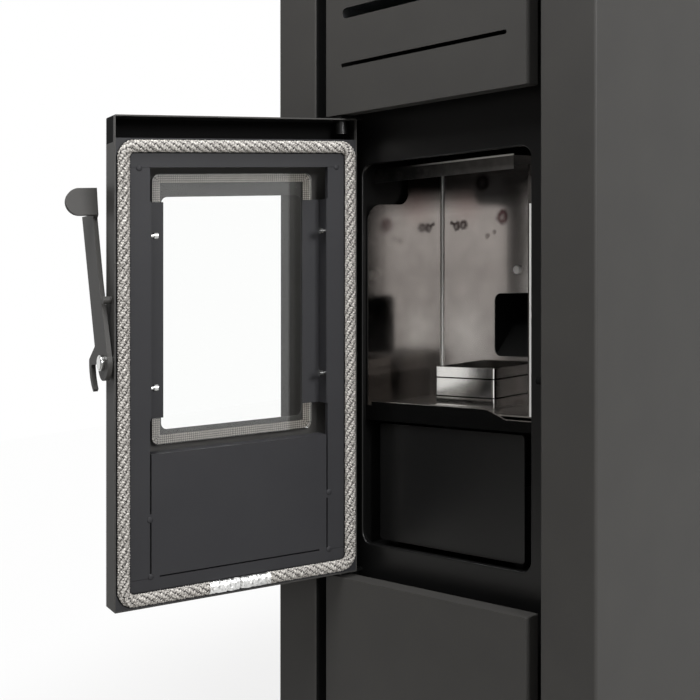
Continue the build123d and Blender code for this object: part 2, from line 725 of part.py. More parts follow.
with BuildPart() as rear_liner:
    with BuildSketch(facing(LINER_BACK)):
        with Locations((0, (HEARTH_TOP + LINER_TOP) / 2)):
            Rectangle(2 * (LINER_HALF + LINER_SHEET), LINER_TOP - HEARTH_TOP)
        with Locations((0, (CHUTE_BOTTOM + CHUTE_TOP) / 2)):
            RectangleRounded(2 * CHUTE_HALF, CHUTE_TOP - CHUTE_BOTTOM, CHUTE_RADIUS, mode=Mode.SUBTRACT)
        with Locations((0, IGNITER_HEIGHT)):
            Circle(IGNITER_RADIUS + CONTACT_GAP, mode=Mode.SUBTRACT)
    extrude(amount=-LINER_SHEET)
rear_liner.part.label = "rear_liner"
export_step(rear_liner.part, "parts/rear_liner.step")

# Seam strip down the middle of the rear liner, held by one pan-head screw
with BuildPart() as liner_strip:
    box_between(
        (-STRIP_HALF, STRIP_HALF), (LINER_BACK - LINER_SHEET, LINER_BACK), (CHUTE_TOP, LINER_TOP)
    )
liner_strip.part.label = "liner_strip"
export_step(liner_strip.part, "parts/liner_strip.step")

LINER_SCREW_HEAD = 3.5
with BuildPart() as liner_screw:
    with BuildSketch(facing(LINER_BACK - LINER_SHEET)):
        with Locations((0, LINER_SCREW_HEIGHT)):
            Circle(LINER_SCREW_RADIUS)
    extrude(amount=LINER_SCREW_HEAD)
    fillet(liner_screw.faces().sort_by(Axis.Y)[0].edges(), LINER_SCREW_HEAD / 2)
liner_screw.part.label = "liner_screw"
export_step(liner_screw.part, "parts/liner_screw.step")

# Baffle: a plate over the fire with a turned-down lip, hung on the rear liner's front
with BuildPart() as baffle_plate:
    baffle_left = -LINER_HALF + CONTACT_GAP
    baffle_back = LINER_BACK - LINER_SHEET - CONTACT_GAP
    box_between(
        (baffle_left, BAFFLE_RIGHT),
        (BAFFLE_FRONT, baffle_back),
        (BAFFLE_LIP_TOP - LINER_SHEET, BAFFLE_LIP_TOP),
    )
    box_between(
        (baffle_left, BAFFLE_RIGHT),
        (BAFFLE_FRONT, BAFFLE_FRONT + LINER_SHEET),
        (BAFFLE_LIP_BOTTOM, BAFFLE_LIP_TOP),
    )
baffle_plate.part.label = "baffle_plate"
export_step(baffle_plate.part, "parts/baffle_plate.step")

# Burn pot: an open folded box with a perforated floor, two pressed beads and a thin foot flange
POT_MIDDLE = POT_FRONT + POT_LENGTH / 2
POT_HOLE_ROWS = 5
with BuildPart() as burn_pot:
    pot_half = POT_WIDTH / 2
    box_between((-pot_half, pot_half), (POT_FRONT, POT_FRONT + POT_LENGTH), (POT_BOTTOM, POT_TOP))
    fillet(burn_pot.edges().filter_by(Axis.Z), POT_CORNER)
    box_between(
        (-pot_half + POT_WALL, pot_half - POT_WALL),
        (POT_FRONT + POT_WALL, POT_FRONT + POT_LENGTH - POT_WALL),
        (POT_BOTTOM + POT_WALL, POT_TOP),
        mode=Mode.SUBTRACT,
    )
    with BuildSketch(lying(POT_BOTTOM)):
        with Locations((0, at_depth(POT_MIDDLE))):
            with GridLocations(POT_HOLE_PITCH, POT_HOLE_PITCH, POT_HOLE_ROWS, POT_HOLE_ROWS):
                Circle(POT_HOLE_RADIUS)
    extrude(amount=POT_WALL, mode=Mode.SUBTRACT)
    for drop in POT_BEAD_DROPS:
        with BuildSketch(lying(POT_TOP - drop)):
            with Locations((0, at_depth(POT_MIDDLE))):
                Rectangle(POT_WIDTH, POT_LENGTH)
                Rectangle(
                    POT_WIDTH - 2 * POT_BEAD_DEPTH, POT_LENGTH - 2 * POT_BEAD_DEPTH, mode=Mode.SUBTRACT
                )
        extrude(amount=POT_BEAD_WIDTH, mode=Mode.SUBTRACT)
    with BuildSketch(lying(HEARTH_TOP + CONTACT_GAP)):
        with Locations((0, at_depth(POT_MIDDLE))):
            Rectangle(POT_WIDTH + 2 * POT_FLANGE, POT_LENGTH + 2 * POT_FLANGE)
            Rectangle(POT_WIDTH, POT_LENGTH, mode=Mode.SUBTRACT)
    extrude(amount=HEARTH_SHEET)
    with BuildSketch(facing(POT_FRONT)):
        with Locations((0, HEARTH_TOP - POT_ARCH_DROP)):
            Circle(POT_ARCH_RADIUS)
            Circle(POT_ARCH_RADIUS - POT_ARCH_WIDTH, mode=Mode.SUBTRACT)
    extrude(amount=-POT_BEAD_DEPTH, mode=Mode.SUBTRACT)
    with BuildSketch(Plane.YZ.offset(pot_half)):
        with Locations((at_depth(POT_MIDDLE), HEARTH_TOP - POT_ARCH_DROP)):
            Circle(POT_ARCH_RADIUS)
            Circle(POT_ARCH_RADIUS - POT_ARCH_WIDTH, mode=Mode.SUBTRACT)
    extrude(amount=-POT_BEAD_DEPTH, mode=Mode.SUBTRACT)
burn_pot.part.label = "burn_pot"
export_step(burn_pot.part, "parts/burn_pot.step")

# Ash drawer: a front plate and a shallow tray that runs on the firebox rails
with BuildPart() as ash_drawer:
    with BuildSketch(facing(DRAWER_FRONT)):
        with Locations((0, (DRAWER_BOTTOM + DRAWER_TOP) / 2)):
            RectangleRounded(2 * DRAWER_HALF, DRAWER_TOP - DRAWER_BOTTOM, DRAWER_INSET)
    extrude(amount=-DRAWER_SHEET)
    tray_half = DRAWER_HALF - DRAWER_INSET
    box_between(
        (-tray_half, tray_half),
        (DRAWER_FRONT + DRAWER_SHEET, DRAWER_FRONT + DRAWER_LENGTH),
        (DRAWER_BOTTOM, DRAWER_WALL_TOP),
    )
    box_between(
        (-tray_half + DRAWER_SHEET, tray_half - DRAWER_SHEET),
        (DRAWER_FRONT + 2 * DRAWER_SHEET, DRAWER_FRONT + DRAWER_LENGTH - DRAWER_SHEET),
        (DRAWER_BOTTOM + DRAWER_SHEET, DRAWER_WALL_TOP),
        mode=Mode.SUBTRACT,
    )
ash_drawer.part.label = "ash_drawer"
export_step(ash_drawer.part, "parts/ash_drawer.step")

# Auger line: it climbs from the hopper neck towards the firebox at its tilt
AUGER_AXIS = Plane(
    origin=(0, at_depth(AUGER_LOW_BEHIND), AUGER_LOW_HEIGHT),
    x_dir=(1, 0, 0),
    z_dir=(0, -cos(radians(AUGER_TILT)), sin(radians(AUGER_TILT))),
)
AUGER_OUTER = AUGER_BORE / 2 + AUGER_TUBE_WALL

# Pellet hopper: a funnel of flat sheets seam-welded at their edges, with a rim for the lid seal
HOPPER_MIDDLE = at_depth((HOPPER_FRONT + HOPPER_BACK) / 2)
HOPPER_LENGTH = HOPPER_BACK - HOPPER_FRONT


def hopper_sheet(top, bottom):
    """A flat sheet between two level strips, each a height, a reach in X and a reach behind."""
    with BuildPart() as sheet:
        for height, across, depth in (top, bottom):
            with BuildSketch(lying(height)):
                with Locations((sum(across) / 2, at_depth(sum(depth) / 2))):
                    Rectangle(across[1] - across[0], depth[1] - depth[0])
        loft(ruled=True)
    return sheet.part


def hopper_strips(half, front, back, edge):
    """The front, rear, left and right strips round one level of the hopper's inside."""
    return (
        ((-half - edge, half + edge), (front - edge, front)),
        ((-half - edge, half + edge), (back, back + edge)),
        ((-half - edge, -half), (front + HOPPER_SEAM, back - HOPPER_SEAM)),
        ((half, half + edge), (front + HOPPER_SEAM, back - HOPPER_SEAM)),
    )


neck_half = HOPPER_NECK_WIDTH / 2
bin_level = (HOPPER_WIDTH / 2, HOPPER_FRONT, HOPPER_BACK)
neck_level = (neck_half, HOPPER_NECK_BEHIND - neck_half, HOPPER_NECK_BEHIND + neck_half)
rim_foot = HOPPER_TOP - HOPPER_SHEET
hopper_stretches = (
    (HOPPER_TOP, bin_level, HOPPER_RIM, rim_foot, bin_level, HOPPER_RIM),
    (rim_foot, bin_level, HOPPER_SHEET, HOPPER_SHOULDER + HOPPER_SEAM, bin_level, HOPPER_SHEET),
    (HOPPER_SHOULDER, bin_level, HOPPER_SHEET, HOPPER_NECK_TOP + HOPPER_SEAM, neck_level, HOPPER_SHEET),
    (HOPPER_NECK_TOP, neck_level, HOPPER_SHEET, AUGER_LOW_HEIGHT, neck_level, HOPPER_SHEET),
)
with BuildPart() as hopper:
    for top, top_level, top_edge, bottom, bottom_level, bottom_edge in hopper_stretches:
        for top_strip, bottom_strip in zip(
            hopper_strips(*top_level, top_edge), hopper_strips(*bottom_level, bottom_edge)
        ):
            add(hopper_sheet((top, *top_strip), (bottom, *bottom_strip)))
    with BuildSketch(AUGER_AXIS.offset(-AUGER_LENGTH)):
        Circle(AUGER_OUTER)
    extrude(amount=3 * AUGER_LENGTH, mode=Mode.SUBTRACT)
    with BuildSketch(Plane.YZ.offset(-HOPPER_WIDTH)):
        with BuildLine():
            Polyline(
                (AUGER_AXIS.origin.Y + AUGER_LENGTH, AUGER_LOW_HEIGHT - AUGER_LENGTH),
                (AUGER_AXIS.origin.Y - AUGER_LENGTH, AUGER_LOW_HEIGHT + AUGER_LENGTH),
                (AUGER_AXIS.origin.Y - AUGER_LENGTH, AUGER_LOW_HEIGHT - AUGER_LENGTH),
                close=True,
            )
        make_face()
    extrude(amount=2 * HOPPER_WIDTH, mode=Mode.SUBTRACT)
hopper.part.label = "hopper"
export_step(hopper.part, "parts/hopper.step")

# Pellet chute: a square duct that drops from the auger tube to the opening in the rear liner
CHUTE_SPARE = 40
CHUTE_RUN = AUGER_OUTER + CHUTE_SPARE


def chute_body(wall):
    """The chute's inside grown by a wall, as a slanted bar from the rear liner to the auger line."""
    with BuildPart() as body:
        rise = wall / cos(radians(AUGER_TILT))
        with BuildSketch(Plane.YZ.offset(-CHUTE_HALF - wall)):
            with BuildLine():
                Polyline(
                    (at_depth(CHUTE_FRONT), CHUTE_BOTTOM - rise),
                    (at_depth(CHUTE_FRONT), CHUTE_TOP + rise),
                    (at_depth(CHUTE_FRONT + CHUTE_RUN), CHUTE_TOP + rise + CHUTE_RUN),
                    (at_depth(CHUTE_FRONT + CHUTE_RUN), CHUTE_BOTTOM - rise + CHUTE_RUN),
                    close=True,
                )
            make_face()
        extrude(amount=2 * (CHUTE_HALF + wall))
    return body.part


chute_outside = chute_body(CHUTE_SHEET)
chute_inside = chute_body(0)
with BuildPart() as pellet_chute:
    add(chute_outside)
    add(chute_inside, mode=Mode.SUBTRACT)
    with BuildSketch(AUGER_AXIS.offset(-AUGER_LENGTH)):
        Circle(AUGER_OUTER)
    extrude(amount=3 * AUGER_LENGTH, mode=Mode.SUBTRACT)
    with BuildSketch(AUGER_AXIS.offset(-AUGER_LENGTH)):
        Rectangle(4 * AUGER_OUTER, 4 * AUGER_OUTER, align=(Align.CENTER, Align.MIN))
    extrude(amount=3 * AUGER_LENGTH, mode=Mode.SUBTRACT)
pellet_chute.part.label = "pellet_chute"
export_step(pellet_chute.part, "parts/pellet_chute.step")

# Auger tube: inlet under the hopper neck, outlet into the chute, end plates with bearings
with BuildPart() as auger_tube:
    with BuildSketch(AUGER_AXIS):
        Circle(AUGER_OUTER)
    extrude(amount=AUGER_LENGTH)
    with BuildSketch(AUGER_AXIS.offset(END_CAP_THICKNESS)):
        Circle(AUGER_BORE / 2)
    extrude(amount=AUGER_LENGTH - 2 * END_CAP_THICKNESS, mode=Mode.SUBTRACT)
    with BuildSketch(AUGER_AXIS):
        Circle(AUGER_JOURNAL_RADIUS + BEARING_CLEARANCE)
    extrude(amount=AUGER_LENGTH, mode=Mode.SUBTRACT)
    box_between(
        (-neck_half, neck_half),
        (HOPPER_NECK_BEHIND - neck_half, HOPPER_NECK_BEHIND + neck_half - AUGER_TUBE_WALL),
        (AUGER_LOW_HEIGHT + AUGER_LOW_BEHIND - HOPPER_NECK_BEHIND, HOPPER_NECK_TOP),
        mode=Mode.SUBTRACT,
    )
    with BuildSketch(AUGER_AXIS.offset(AUGER_LENGTH - END_CAP_THICKNESS)):
        Rectangle(HOPPER_NECK_WIDTH, 2 * AUGER_OUTER, align=(Align.CENTER, Align.MAX))
    extrude(amount=-HOPPER_NECK_WIDTH, mode=Mode.SUBTRACT)
auger_tube.part.label = "auger_tube"
export_step(auger_tube.part, "parts/auger_tube.step")

# Auger screw: a flight wound on a shaft that turns in the end plates
AUGER_END_PLAY = 2
FLIGHT_ROOT = 1
FLIGHT_LENGTH = AUGER_LENGTH - 2 * END_CAP_THICKNESS - 2 * AUGER_END_PLAY - 2 * AUGER_FLIGHT_THICKNESS
with BuildPart() as auger_screw:
    with BuildSketch(AUGER_AXIS.offset(END_CAP_THICKNESS + AUGER_END_PLAY)):
        Circle(AUGER_SHAFT_RADIUS)
    extrude(amount=AUGER_LENGTH - 2 * END_CAP_THICKNESS - 2 * AUGER_END_PLAY)
    with BuildSketch(AUGER_AXIS.offset(-END_CAP_THICKNESS)):
        Circle(AUGER_JOURNAL_RADIUS)
    extrude(amount=AUGER_LENGTH + END_CAP_THICKNESS)
    flight_plane = AUGER_AXIS.offset(END_CAP_THICKNESS + AUGER_END_PLAY + AUGER_FLIGHT_THICKNESS)
    with BuildLine() as flight_path:
        Helix(
            pitch=AUGER_PITCH,
            height=FLIGHT_LENGTH,
            radius=AUGER_SHAFT_RADIUS - FLIGHT_ROOT,
            center=flight_plane.origin,
            direction=flight_plane.z_dir,
        )
    flight_start = flight_path.line @ 0
    with BuildSketch(
        Plane(
            origin=flight_start,
            x_dir=flight_start - flight_plane.origin,
            z_dir=flight_path.line % 0,
        )
    ):
        Rectangle(
            AUGER_FLIGHT_RADIUS - AUGER_SHAFT_RADIUS + FLIGHT_ROOT,
            AUGER_FLIGHT_THICKNESS,
            align=(Align.MIN, Align.CENTER),
        )
    sweep(path=flight_path.line, is_frenet=True)
auger_screw.part.label = "auger_screw"
export_step(auger_screw.part, "parts/auger_screw.step")

# Auger gear motor: gearbox and motor on the low end of the tube, bored for the auger's journal
with BuildPart() as auger_motor:
    with BuildSketch(AUGER_AXIS):
        RectangleRounded(GEARBOX_SIZE, GEARBOX_SIZE, BEND)
    extrude(amount=-GEARBOX_LENGTH)
    with BuildSketch(AUGER_AXIS.offset(-GEARBOX_LENGTH)):
        Circle(MOTOR_RADIUS)
    extrude(amount=-MOTOR_LENGTH)
    with BuildSketch(AUGER_AXIS):
        Circle(AUGER_JOURNAL_RADIUS + BEARING_CLEARANCE)
    extrude(amount=-END_CAP_THICKNESS - AUGER_END_PLAY, mode=Mode.SUBTRACT)
auger_motor.part.label = "auger_motor"
export_step(auger_motor.part, "parts/auger_motor.step")

# Igniter: a ceramic rod that points through the firebox wall at the back of the pot
with BuildPart() as igniter:
    with BuildSketch(facing(FIREBOX_BACK - FIREBOX_WALL - 2)):
        with Locations((0, IGNITER_HEIGHT)):
            Circle(IGNITER_RADIUS)
    extrude(amount=-IGNITER_REACH)
    with BuildSketch(facing(FIREBOX_BACK)):
        with Locations((0, IGNITER_HEIGHT)):
            Circle(2 * IGNITER_RADIUS)
    extrude(amount=-FIREBOX_WALL)
igniter.part.label = "igniter"
export_step(igniter.part, "parts/igniter.step")

# Smoke duct: a flat box that leads flue gas down the back of the firebox to the fan inlet
with BuildPart() as smoke_duct:
    box_between(
        (SMOKE_LEFT, SMOKE_RIGHT), (FIREBOX_BACK, SMOKE_BACK), (SMOKE_BOTTOM, SMOKE_PORT_TOP + DUCT_SHEET)
    )
    box_between(
        (SMOKE_LEFT + DUCT_SHEET, SMOKE_RIGHT - DUCT_SHEET),
        (FIREBOX_BACK + DUCT_SHEET, SMOKE_BACK - DUCT_SHEET),
        (SMOKE_BOTTOM + DUCT_SHEET, SMOKE_PORT_TOP),
        mode=Mode.SUBTRACT,
    )
    box_between(
        (SMOKE_LEFT + DUCT_SHEET, SMOKE_RIGHT - DUCT_SHEET),
        (FIREBOX_BACK, FIREBOX_BACK + DUCT_SHEET),
        (SMOKE_PORT_BOTTOM, SMOKE_PORT_TOP),
        mode=Mode.SUBTRACT,
    )
    with BuildSketch(facing(SMOKE_BACK)):
        with Locations((FAN_X, FAN_HEIGHT)):
            Circle(FAN_INLET_RADIUS - FAN_SHEET)
    extrude(amount=DUCT_SHEET, mode=Mode.SUBTRACT)
smoke_duct.part.label = "smoke_duct"
export_step(smoke_duct.part, "parts/smoke_duct.step")


def fan_volute(inset):
    """The fan housing's outer form, drawn in by an inset: a round chamber and its side outlet."""
    with BuildPart() as volute:
        with BuildSketch(facing(FAN_FRONT + inset)):
            with Locations((FAN_X, FAN_HEIGHT)):
                Circle(FAN_RADIUS - inset)
            outlet_top = FAN_HEIGHT + FAN_RADIUS - inset
            outlet_bottom = FAN_OUTLET_HEIGHT - FAN_OUTLET_HALF + inset
            with Locations((FAN_X, (outlet_top + outlet_bottom) / 2)):
                Rectangle(
                    FAN_X - FAN_OUTLET_X + FAN_OUTLET_HALF - inset,
                    outlet_top - outlet_bottom,
                    align=(Align.MAX, Align.CENTER),
                )
        extrude(amount=2 * inset - FAN_DEPTH)
    return volute.part


# Exhaust fan housing: a sheet volute with its inlet collar on the smoke duct
FAN_BACK = FAN_FRONT + FAN_DEPTH
fan_outside = fan_volute(0)
fan_inside = fan_volute(FAN_SHEET)
with BuildPart() as exhaust_fan_housing:
    add(fan_outside)
    with BuildSketch(facing(SMOKE_BACK)):
        with Locations((FAN_X, FAN_HEIGHT)):
            Circle(FAN_INLET_RADIUS)
    extrude(amount=SMOKE_BACK - FAN_FRONT)
    with BuildSketch(facing(SMOKE_BACK)):
        with Locations((FAN_X, FAN_HEIGHT)):
            Circle(FAN_INLET_RADIUS - FAN_SHEET)
    extrude(amount=SMOKE_BACK - FAN_FRONT - FAN_SHEET, mode=Mode.SUBTRACT)
    add(fan_inside, mode=Mode.SUBTRACT)
    with BuildSketch(facing(FAN_BACK)):
        with Locations((FAN_X, FAN_HEIGHT)):
            Circle(FAN_SHAFT_RADIUS + 1)
        with Locations((FAN_OUTLET_X, FAN_OUTLET_HEIGHT)):
            Circle(FLUE_RADIUS - FLUE_SHEET)
    extrude(amount=FAN_SHEET, mode=Mode.SUBTRACT)
    box_between(
        (FAN_X - FAN_RADIUS / 3, FAN_X + FAN_RADIUS / 3),
        (FAN_FRONT + LEDGE, FAN_BACK - LEDGE),
        (CASE_BOTTOM, FAN_HEIGHT - FAN_RADIUS + FAN_SHEET / 2),
    )
exhaust_fan_housing.part.label = "exhaust_fan_housing"
export_step(exhaust_fan_housing.part, "parts/exhaust_fan_housing.step")

# Exhaust impeller: a disc with radial blades on the motor's shaft
IMPELLER_HUB = 10
BLADE_MARGIN = 1
SHAFT_IN_MOTOR = 20
IMPELLER_REAR = FAN_BACK - FAN_SHEET - 4
with BuildPart() as exhaust_impeller:
    with BuildSketch(facing(IMPELLER_REAR)):
        with Locations((FAN_X, FAN_HEIGHT)):
            Circle(IMPELLER_RADIUS)
    extrude(amount=IMPELLER_DISC)
    with BuildSketch(facing(IMPELLER_REAR)):
        with Locations((FAN_X, FAN_HEIGHT)):
            Circle(IMPELLER_HUB)
            with PolarLocations(IMPELLER_RADIUS / 2, IMPELLER_BLADES):
                Rectangle(IMPELLER_RADIUS - 2 * BLADE_MARGIN, IMPELLER_DISC)
    extrude(amount=IMPELLER_DEPTH)
    with BuildSketch(facing(IMPELLER_REAR)):
        with Locations((FAN_X, FAN_HEIGHT)):
            Circle(FAN_SHAFT_RADIUS)
    extrude(amount=IMPELLER_REAR - FAN_BACK - SHAFT_IN_MOTOR)
exhaust_impeller.part.label = "exhaust_impeller"
export_step(exhaust_impeller.part, "parts/exhaust_impeller.step")

with BuildPart() as exhaust_motor:
    with BuildSketch(facing(FAN_BACK)):
        with Locations((FAN_X, FAN_HEIGHT)):
            Circle(FAN_MOTOR_RADIUS)
            Circle(FAN_SHAFT_RADIUS + BEARING_CLEARANCE, mode=Mode.SUBTRACT)
    extrude(amount=-SHAFT_IN_MOTOR - 1)
    with BuildSketch(facing(FAN_BACK + SHAFT_IN_MOTOR + 1)):
        with Locations((FAN_X, FAN_HEIGHT)):
            Circle(FAN_MOTOR_RADIUS)
    extrude(amount=SHAFT_IN_MOTOR + 1 - FAN_MOTOR_LENGTH)
    fillet(exhaust_motor.faces().sort_by(Axis.Y)[-1].edges(), BEND)
exhaust_motor.part.label = "exhaust_motor"
export_step(exhaust_motor.part, "parts/exhaust_motor.step")

# Flue spigot and combustion-air pipe: tubes swaged to full size where they stand out of the back
with BuildPart() as flue_spigot:
    with BuildSketch(facing(FAN_BACK)):
        with Locations((FAN_OUTLET_X, FAN_OUTLET_HEIGHT)):
            Circle(FLUE_RADIUS - SOCKET_STEP)
            Circle(FLUE_RADIUS - FLUE_SHEET, mode=Mode.SUBTRACT)
    extrude(amount=FAN_BACK - DEPTH)
    with BuildSketch(facing(DEPTH)):
        with Locations((FAN_OUTLET_X, FAN_OUTLET_HEIGHT)):
            Circle(FLUE_RADIUS)
            Circle(FLUE_RADIUS - FLUE_SHEET, mode=Mode.SUBTRACT)
    extrude(amount=-FLUE_REACH)
flue_spigot.part.label = "flue_spigot"
export_step(flue_spigot.part, "parts/flue_spigot.step")

with BuildPart() as air_intake_pipe:
    with BuildSketch(facing(FIREBOX_BACK)):
        with Locations((0, INTAKE_HEIGHT)):
            Circle(INTAKE_RADIUS - SOCKET_STEP)
            Circle(INTAKE_RADIUS - INTAKE_SHEET, mode=Mode.SUBTRACT)
    extrude(amount=FIREBOX_BACK - DEPTH)
    with BuildSketch(facing(DEPTH)):
        with Locations((0, INTAKE_HEIGHT)):
            Circle(INTAKE_RADIUS)
            Circle(INTAKE_RADIUS - INTAKE_SHEET, mode=Mode.SUBTRACT)
    extrude(amount=-INTAKE_REACH)
air_intake_pipe.part.label = "air_intake_pipe"
export_step(air_intake_pipe.part, "parts/air_intake_pipe.step")

# Warm-air duct: galvanised, up the back of the firebox and forward to the slot in the front
with BuildPart() as warm_air_duct:
    box_between(
        (WARM_DUCT_LEFT, WARM_DUCT_RIGHT),
        (WARM_DUCT_FRONT, WARM_DUCT_BACK),
        (WARM_DUCT_BOTTOM, WARM_OUTLET_TOP),
    )
    box_between(
        (-WARM_HALF + CONTACT_GAP, WARM_HALF - CONTACT_GAP),
        (SHEET + CONTACT_GAP, WARM_DUCT_BACK),
        (WARM_OUTLET_BOTTOM + CONTACT_GAP, WARM_OUTLET_TOP - CONTACT_GAP),
    )
    box_between(
        (WARM_DUCT_LEFT, WARM_DUCT_RIGHT),
        (WARM_DUCT_FRONT, WARM_DUCT_BACK),
        (WARM_OUTLET_TOP - CONTACT_GAP, WARM_OUTLET_TOP),
        mode=Mode.SUBTRACT,
    )
    box_between(
        (WARM_DUCT_LEFT + DUCT_SHEET, WARM_DUCT_RIGHT - DUCT_SHEET),
        (WARM_DUCT_FRONT + DUCT_SHEET, WARM_DUCT_BACK - DUCT_SHEET),
        (WARM_DUCT_BOTTOM, WARM_OUTLET_TOP - 2 * DUCT_SHEET),
        mode=Mode.SUBTRACT,
    )
    box_between(
        (-WARM_HALF + DUCT_SHEET, WARM_HALF - DUCT_SHEET),
        (SHEET + CONTACT_GAP, WARM_DUCT_BACK - DUCT_SHEET),
        (WARM_OUTLET_BOTTOM + 2 * DUCT_SHEET, WARM_OUTLET_TOP - 2 * DUCT_SHEET),
        mode=Mode.SUBTRACT,
    )
warm_air_duct.part.label = "warm_air_duct"
export_step(warm_air_duct.part, "parts/warm_air_duct.step")

# Room-air blower: a housing with its motor on one end, and a drum rotor that feeds the duct
BLOWER_AXIS = Plane(
    origin=(BLOWER_LEFT, at_depth(BLOWER_BEHIND), BLOWER_HEIGHT), x_dir=(0, 1, 0), z_dir=(1, 0, 0)
)
BLOWER_SHELL_SHEET = 1.5
BLOWER_END_GAP = 2
with BuildPart() as blower_housing:
    with BuildSketch(BLOWER_AXIS.offset(-BLOWER_END_GAP - BLOWER_SHELL_SHEET)):
        Circle(BLOWER_SHELL_RADIUS)
        with Locations((0, WARM_DUCT_BOTTOM - BLOWER_HEIGHT)):
            Rectangle(
                WARM_DUCT_BACK - WARM_DUCT_FRONT,
                WARM_DUCT_BOTTOM - BLOWER_HEIGHT,
                align=(Align.CENTER, Align.MAX),
            )
        with Locations((0, CASE_BOTTOM - BLOWER_HEIGHT)):
            Rectangle(2 * BLOWER_RADIUS, BLOWER_HEIGHT - CASE_BOTTOM, align=(Align.CENTER, Align.MIN))
    extrude(amount=BLOWER_LENGTH + 2 * BLOWER_END_GAP + 2 * BLOWER_SHELL_SHEET)
    with BuildSketch(BLOWER_AXIS.offset(-BLOWER_END_GAP)):
        Circle(BLOWER_SHELL_RADIUS - BLOWER_SHELL_SHEET)
        with Locations((0, WARM_DUCT_BOTTOM - BLOWER_HEIGHT)):
            Rectangle(
                WARM_DUCT_BACK - WARM_DUCT_FRONT - 2 * BLOWER_SHELL_SHEET,
                WARM_DUCT_BOTTOM - BLOWER_HEIGHT,
                align=(Align.CENTER, Align.MAX),
            )
        with Locations((0, CASE_BOTTOM - BLOWER_HEIGHT)):
            Rectangle(
                2 * BLOWER_RADIUS - 2 * BLOWER_SHELL_SHEET,
                BLOWER_HEIGHT - CASE_BOTTOM,
                align=(Align.CENTER, Align.MIN),
            )
    extrude(amount=BLOWER_LENGTH + 2 * BLOWER_END_GAP, mode=Mode.SUBTRACT)
    with BuildSketch(BLOWER_AXIS.offset(-BLOWER_END_GAP - BLOWER_SHELL_SHEET)):
        Circle(BLOWER_SHAFT_RADIUS + BEARING_CLEARANCE)
    extrude(amount=BLOWER_LENGTH + 2 * BLOWER_END_GAP + 2 * BLOWER_SHELL_SHEET, mode=Mode.SUBTRACT)
    with BuildSketch(BLOWER_AXIS.offset(-BLOWER_END_GAP - BLOWER_SHELL_SHEET)):
        Circle(BLOWER_RADIUS)
        Circle(BLOWER_SHAFT_RADIUS + BEARING_CLEARANCE, mode=Mode.SUBTRACT)
    extrude(amount=-BLOWER_MOTOR_LENGTH / 2)
    with BuildSketch(BLOWER_AXIS.offset(-BLOWER_END_GAP - BLOWER_SHELL_SHEET - BLOWER_MOTOR_LENGTH / 2)):
        Circle(BLOWER_RADIUS)
    extrude(amount=BLOWER_SHELL_SHEET - BLOWER_MOTOR_LENGTH / 2)
blower_housing.part.label = "blower_housing"
export_step(blower_housing.part, "parts/blower_housing.step")

BLOWER_DISC = 2
BLOWER_BLADE = 6
with BuildPart() as blower_rotor:
    for end in (0, BLOWER_LENGTH - BLOWER_DISC):
        with BuildSketch(BLOWER_AXIS.offset(end)):
            Circle(BLOWER_RADIUS)
        extrude(amount=BLOWER_DISC)
    with BuildSketch(BLOWER_AXIS):
        with PolarLocations(BLOWER_RADIUS - BLADE_MARGIN - BLOWER_BLADE / 2, BLOWER_BLADES):
            Rectangle(BLOWER_BLADE, BLOWER_DISC / 2)
    extrude(amount=BLOWER_LENGTH)
    with BuildSketch(BLOWER_AXIS.offset(-BLOWER_MOTOR_LENGTH / 2)):
        Circle(BLOWER_SHAFT_RADIUS)
    extrude(amount=BLOWER_LENGTH + BLOWER_MOTOR_LENGTH / 2 + BLOWER_END_GAP + BLOWER_SHELL_SHEET)
blower_rotor.part.label = "blower_rotor"
export_step(blower_rotor.part, "parts/blower_rotor.step")

# Hopper lid: a shallow upturned tray let into the top, on two pins near its rear edge
LID_HALF = LID_OPENING_HALF - LID_GAP
LID_FRONT = LID_OPENING_FRONT + LID_GAP
LID_BACK = LID_OPENING_BACK - LID_REAR_GAP
with BuildPart() as hopper_lid:
    box_between((-LID_HALF, LID_HALF), (LID_FRONT, LID_BACK), (HEIGHT - LID_RIM, HEIGHT))
    box_between(
        (-LID_HALF + SHEET, LID_HALF - SHEET),
        (LID_FRONT + SHEET, LID_BACK - SHEET),
        (HEIGHT - LID_RIM, HEIGHT - TOP_SHEET),
        mode=Mode.SUBTRACT,
    )
    with BuildSketch(Plane.YZ.offset(-WIDTH / 2)):
        with Locations(lid_pin_point):
            Circle(LID_PIN_RADIUS + PIN_CLEARANCE)
    extrude(amount=WIDTH, mode=Mode.SUBTRACT)
hopper_lid.part.label = "hopper_lid"
export_step(hopper_lid.part, "parts/hopper_lid.step")

with BuildPart() as lid_hinge_pins:
    for side in (-1, 1):
        with BuildSketch(Plane.YZ.offset(side * (LID_TAB_HALF + LID_TAB_SHEET + 1))):
            with Locations(lid_pin_point):
                Circle(LID_PIN_RADIUS)
        extrude(amount=-side * LID_PIN_LENGTH)
lid_hinge_pins.part.label = "lid_hinge_pins"
export_step(lid_hinge_pins.part, "parts/lid_hinge_pins.step")

with BuildPart() as lid_seal:
    with BuildSketch(lying(HOPPER_TOP)):
        with Locations((0, HOPPER_MIDDLE)):
            Rectangle(HOPPER_WIDTH + 2 * HOPPER_RIM - 1, HOPPER_LENGTH + 2 * HOPPER_RIM - 1)
            Rectangle(HOPPER_WIDTH, HOPPER_LENGTH, mode=Mode.SUBTRACT)
    extrude(amount=HEIGHT - TOP_SHEET - HOPPER_TOP - CONTACT_GAP)
lid_seal.part.label = "lid_seal"
export_step(lid_seal.part, "parts/lid_seal.step")

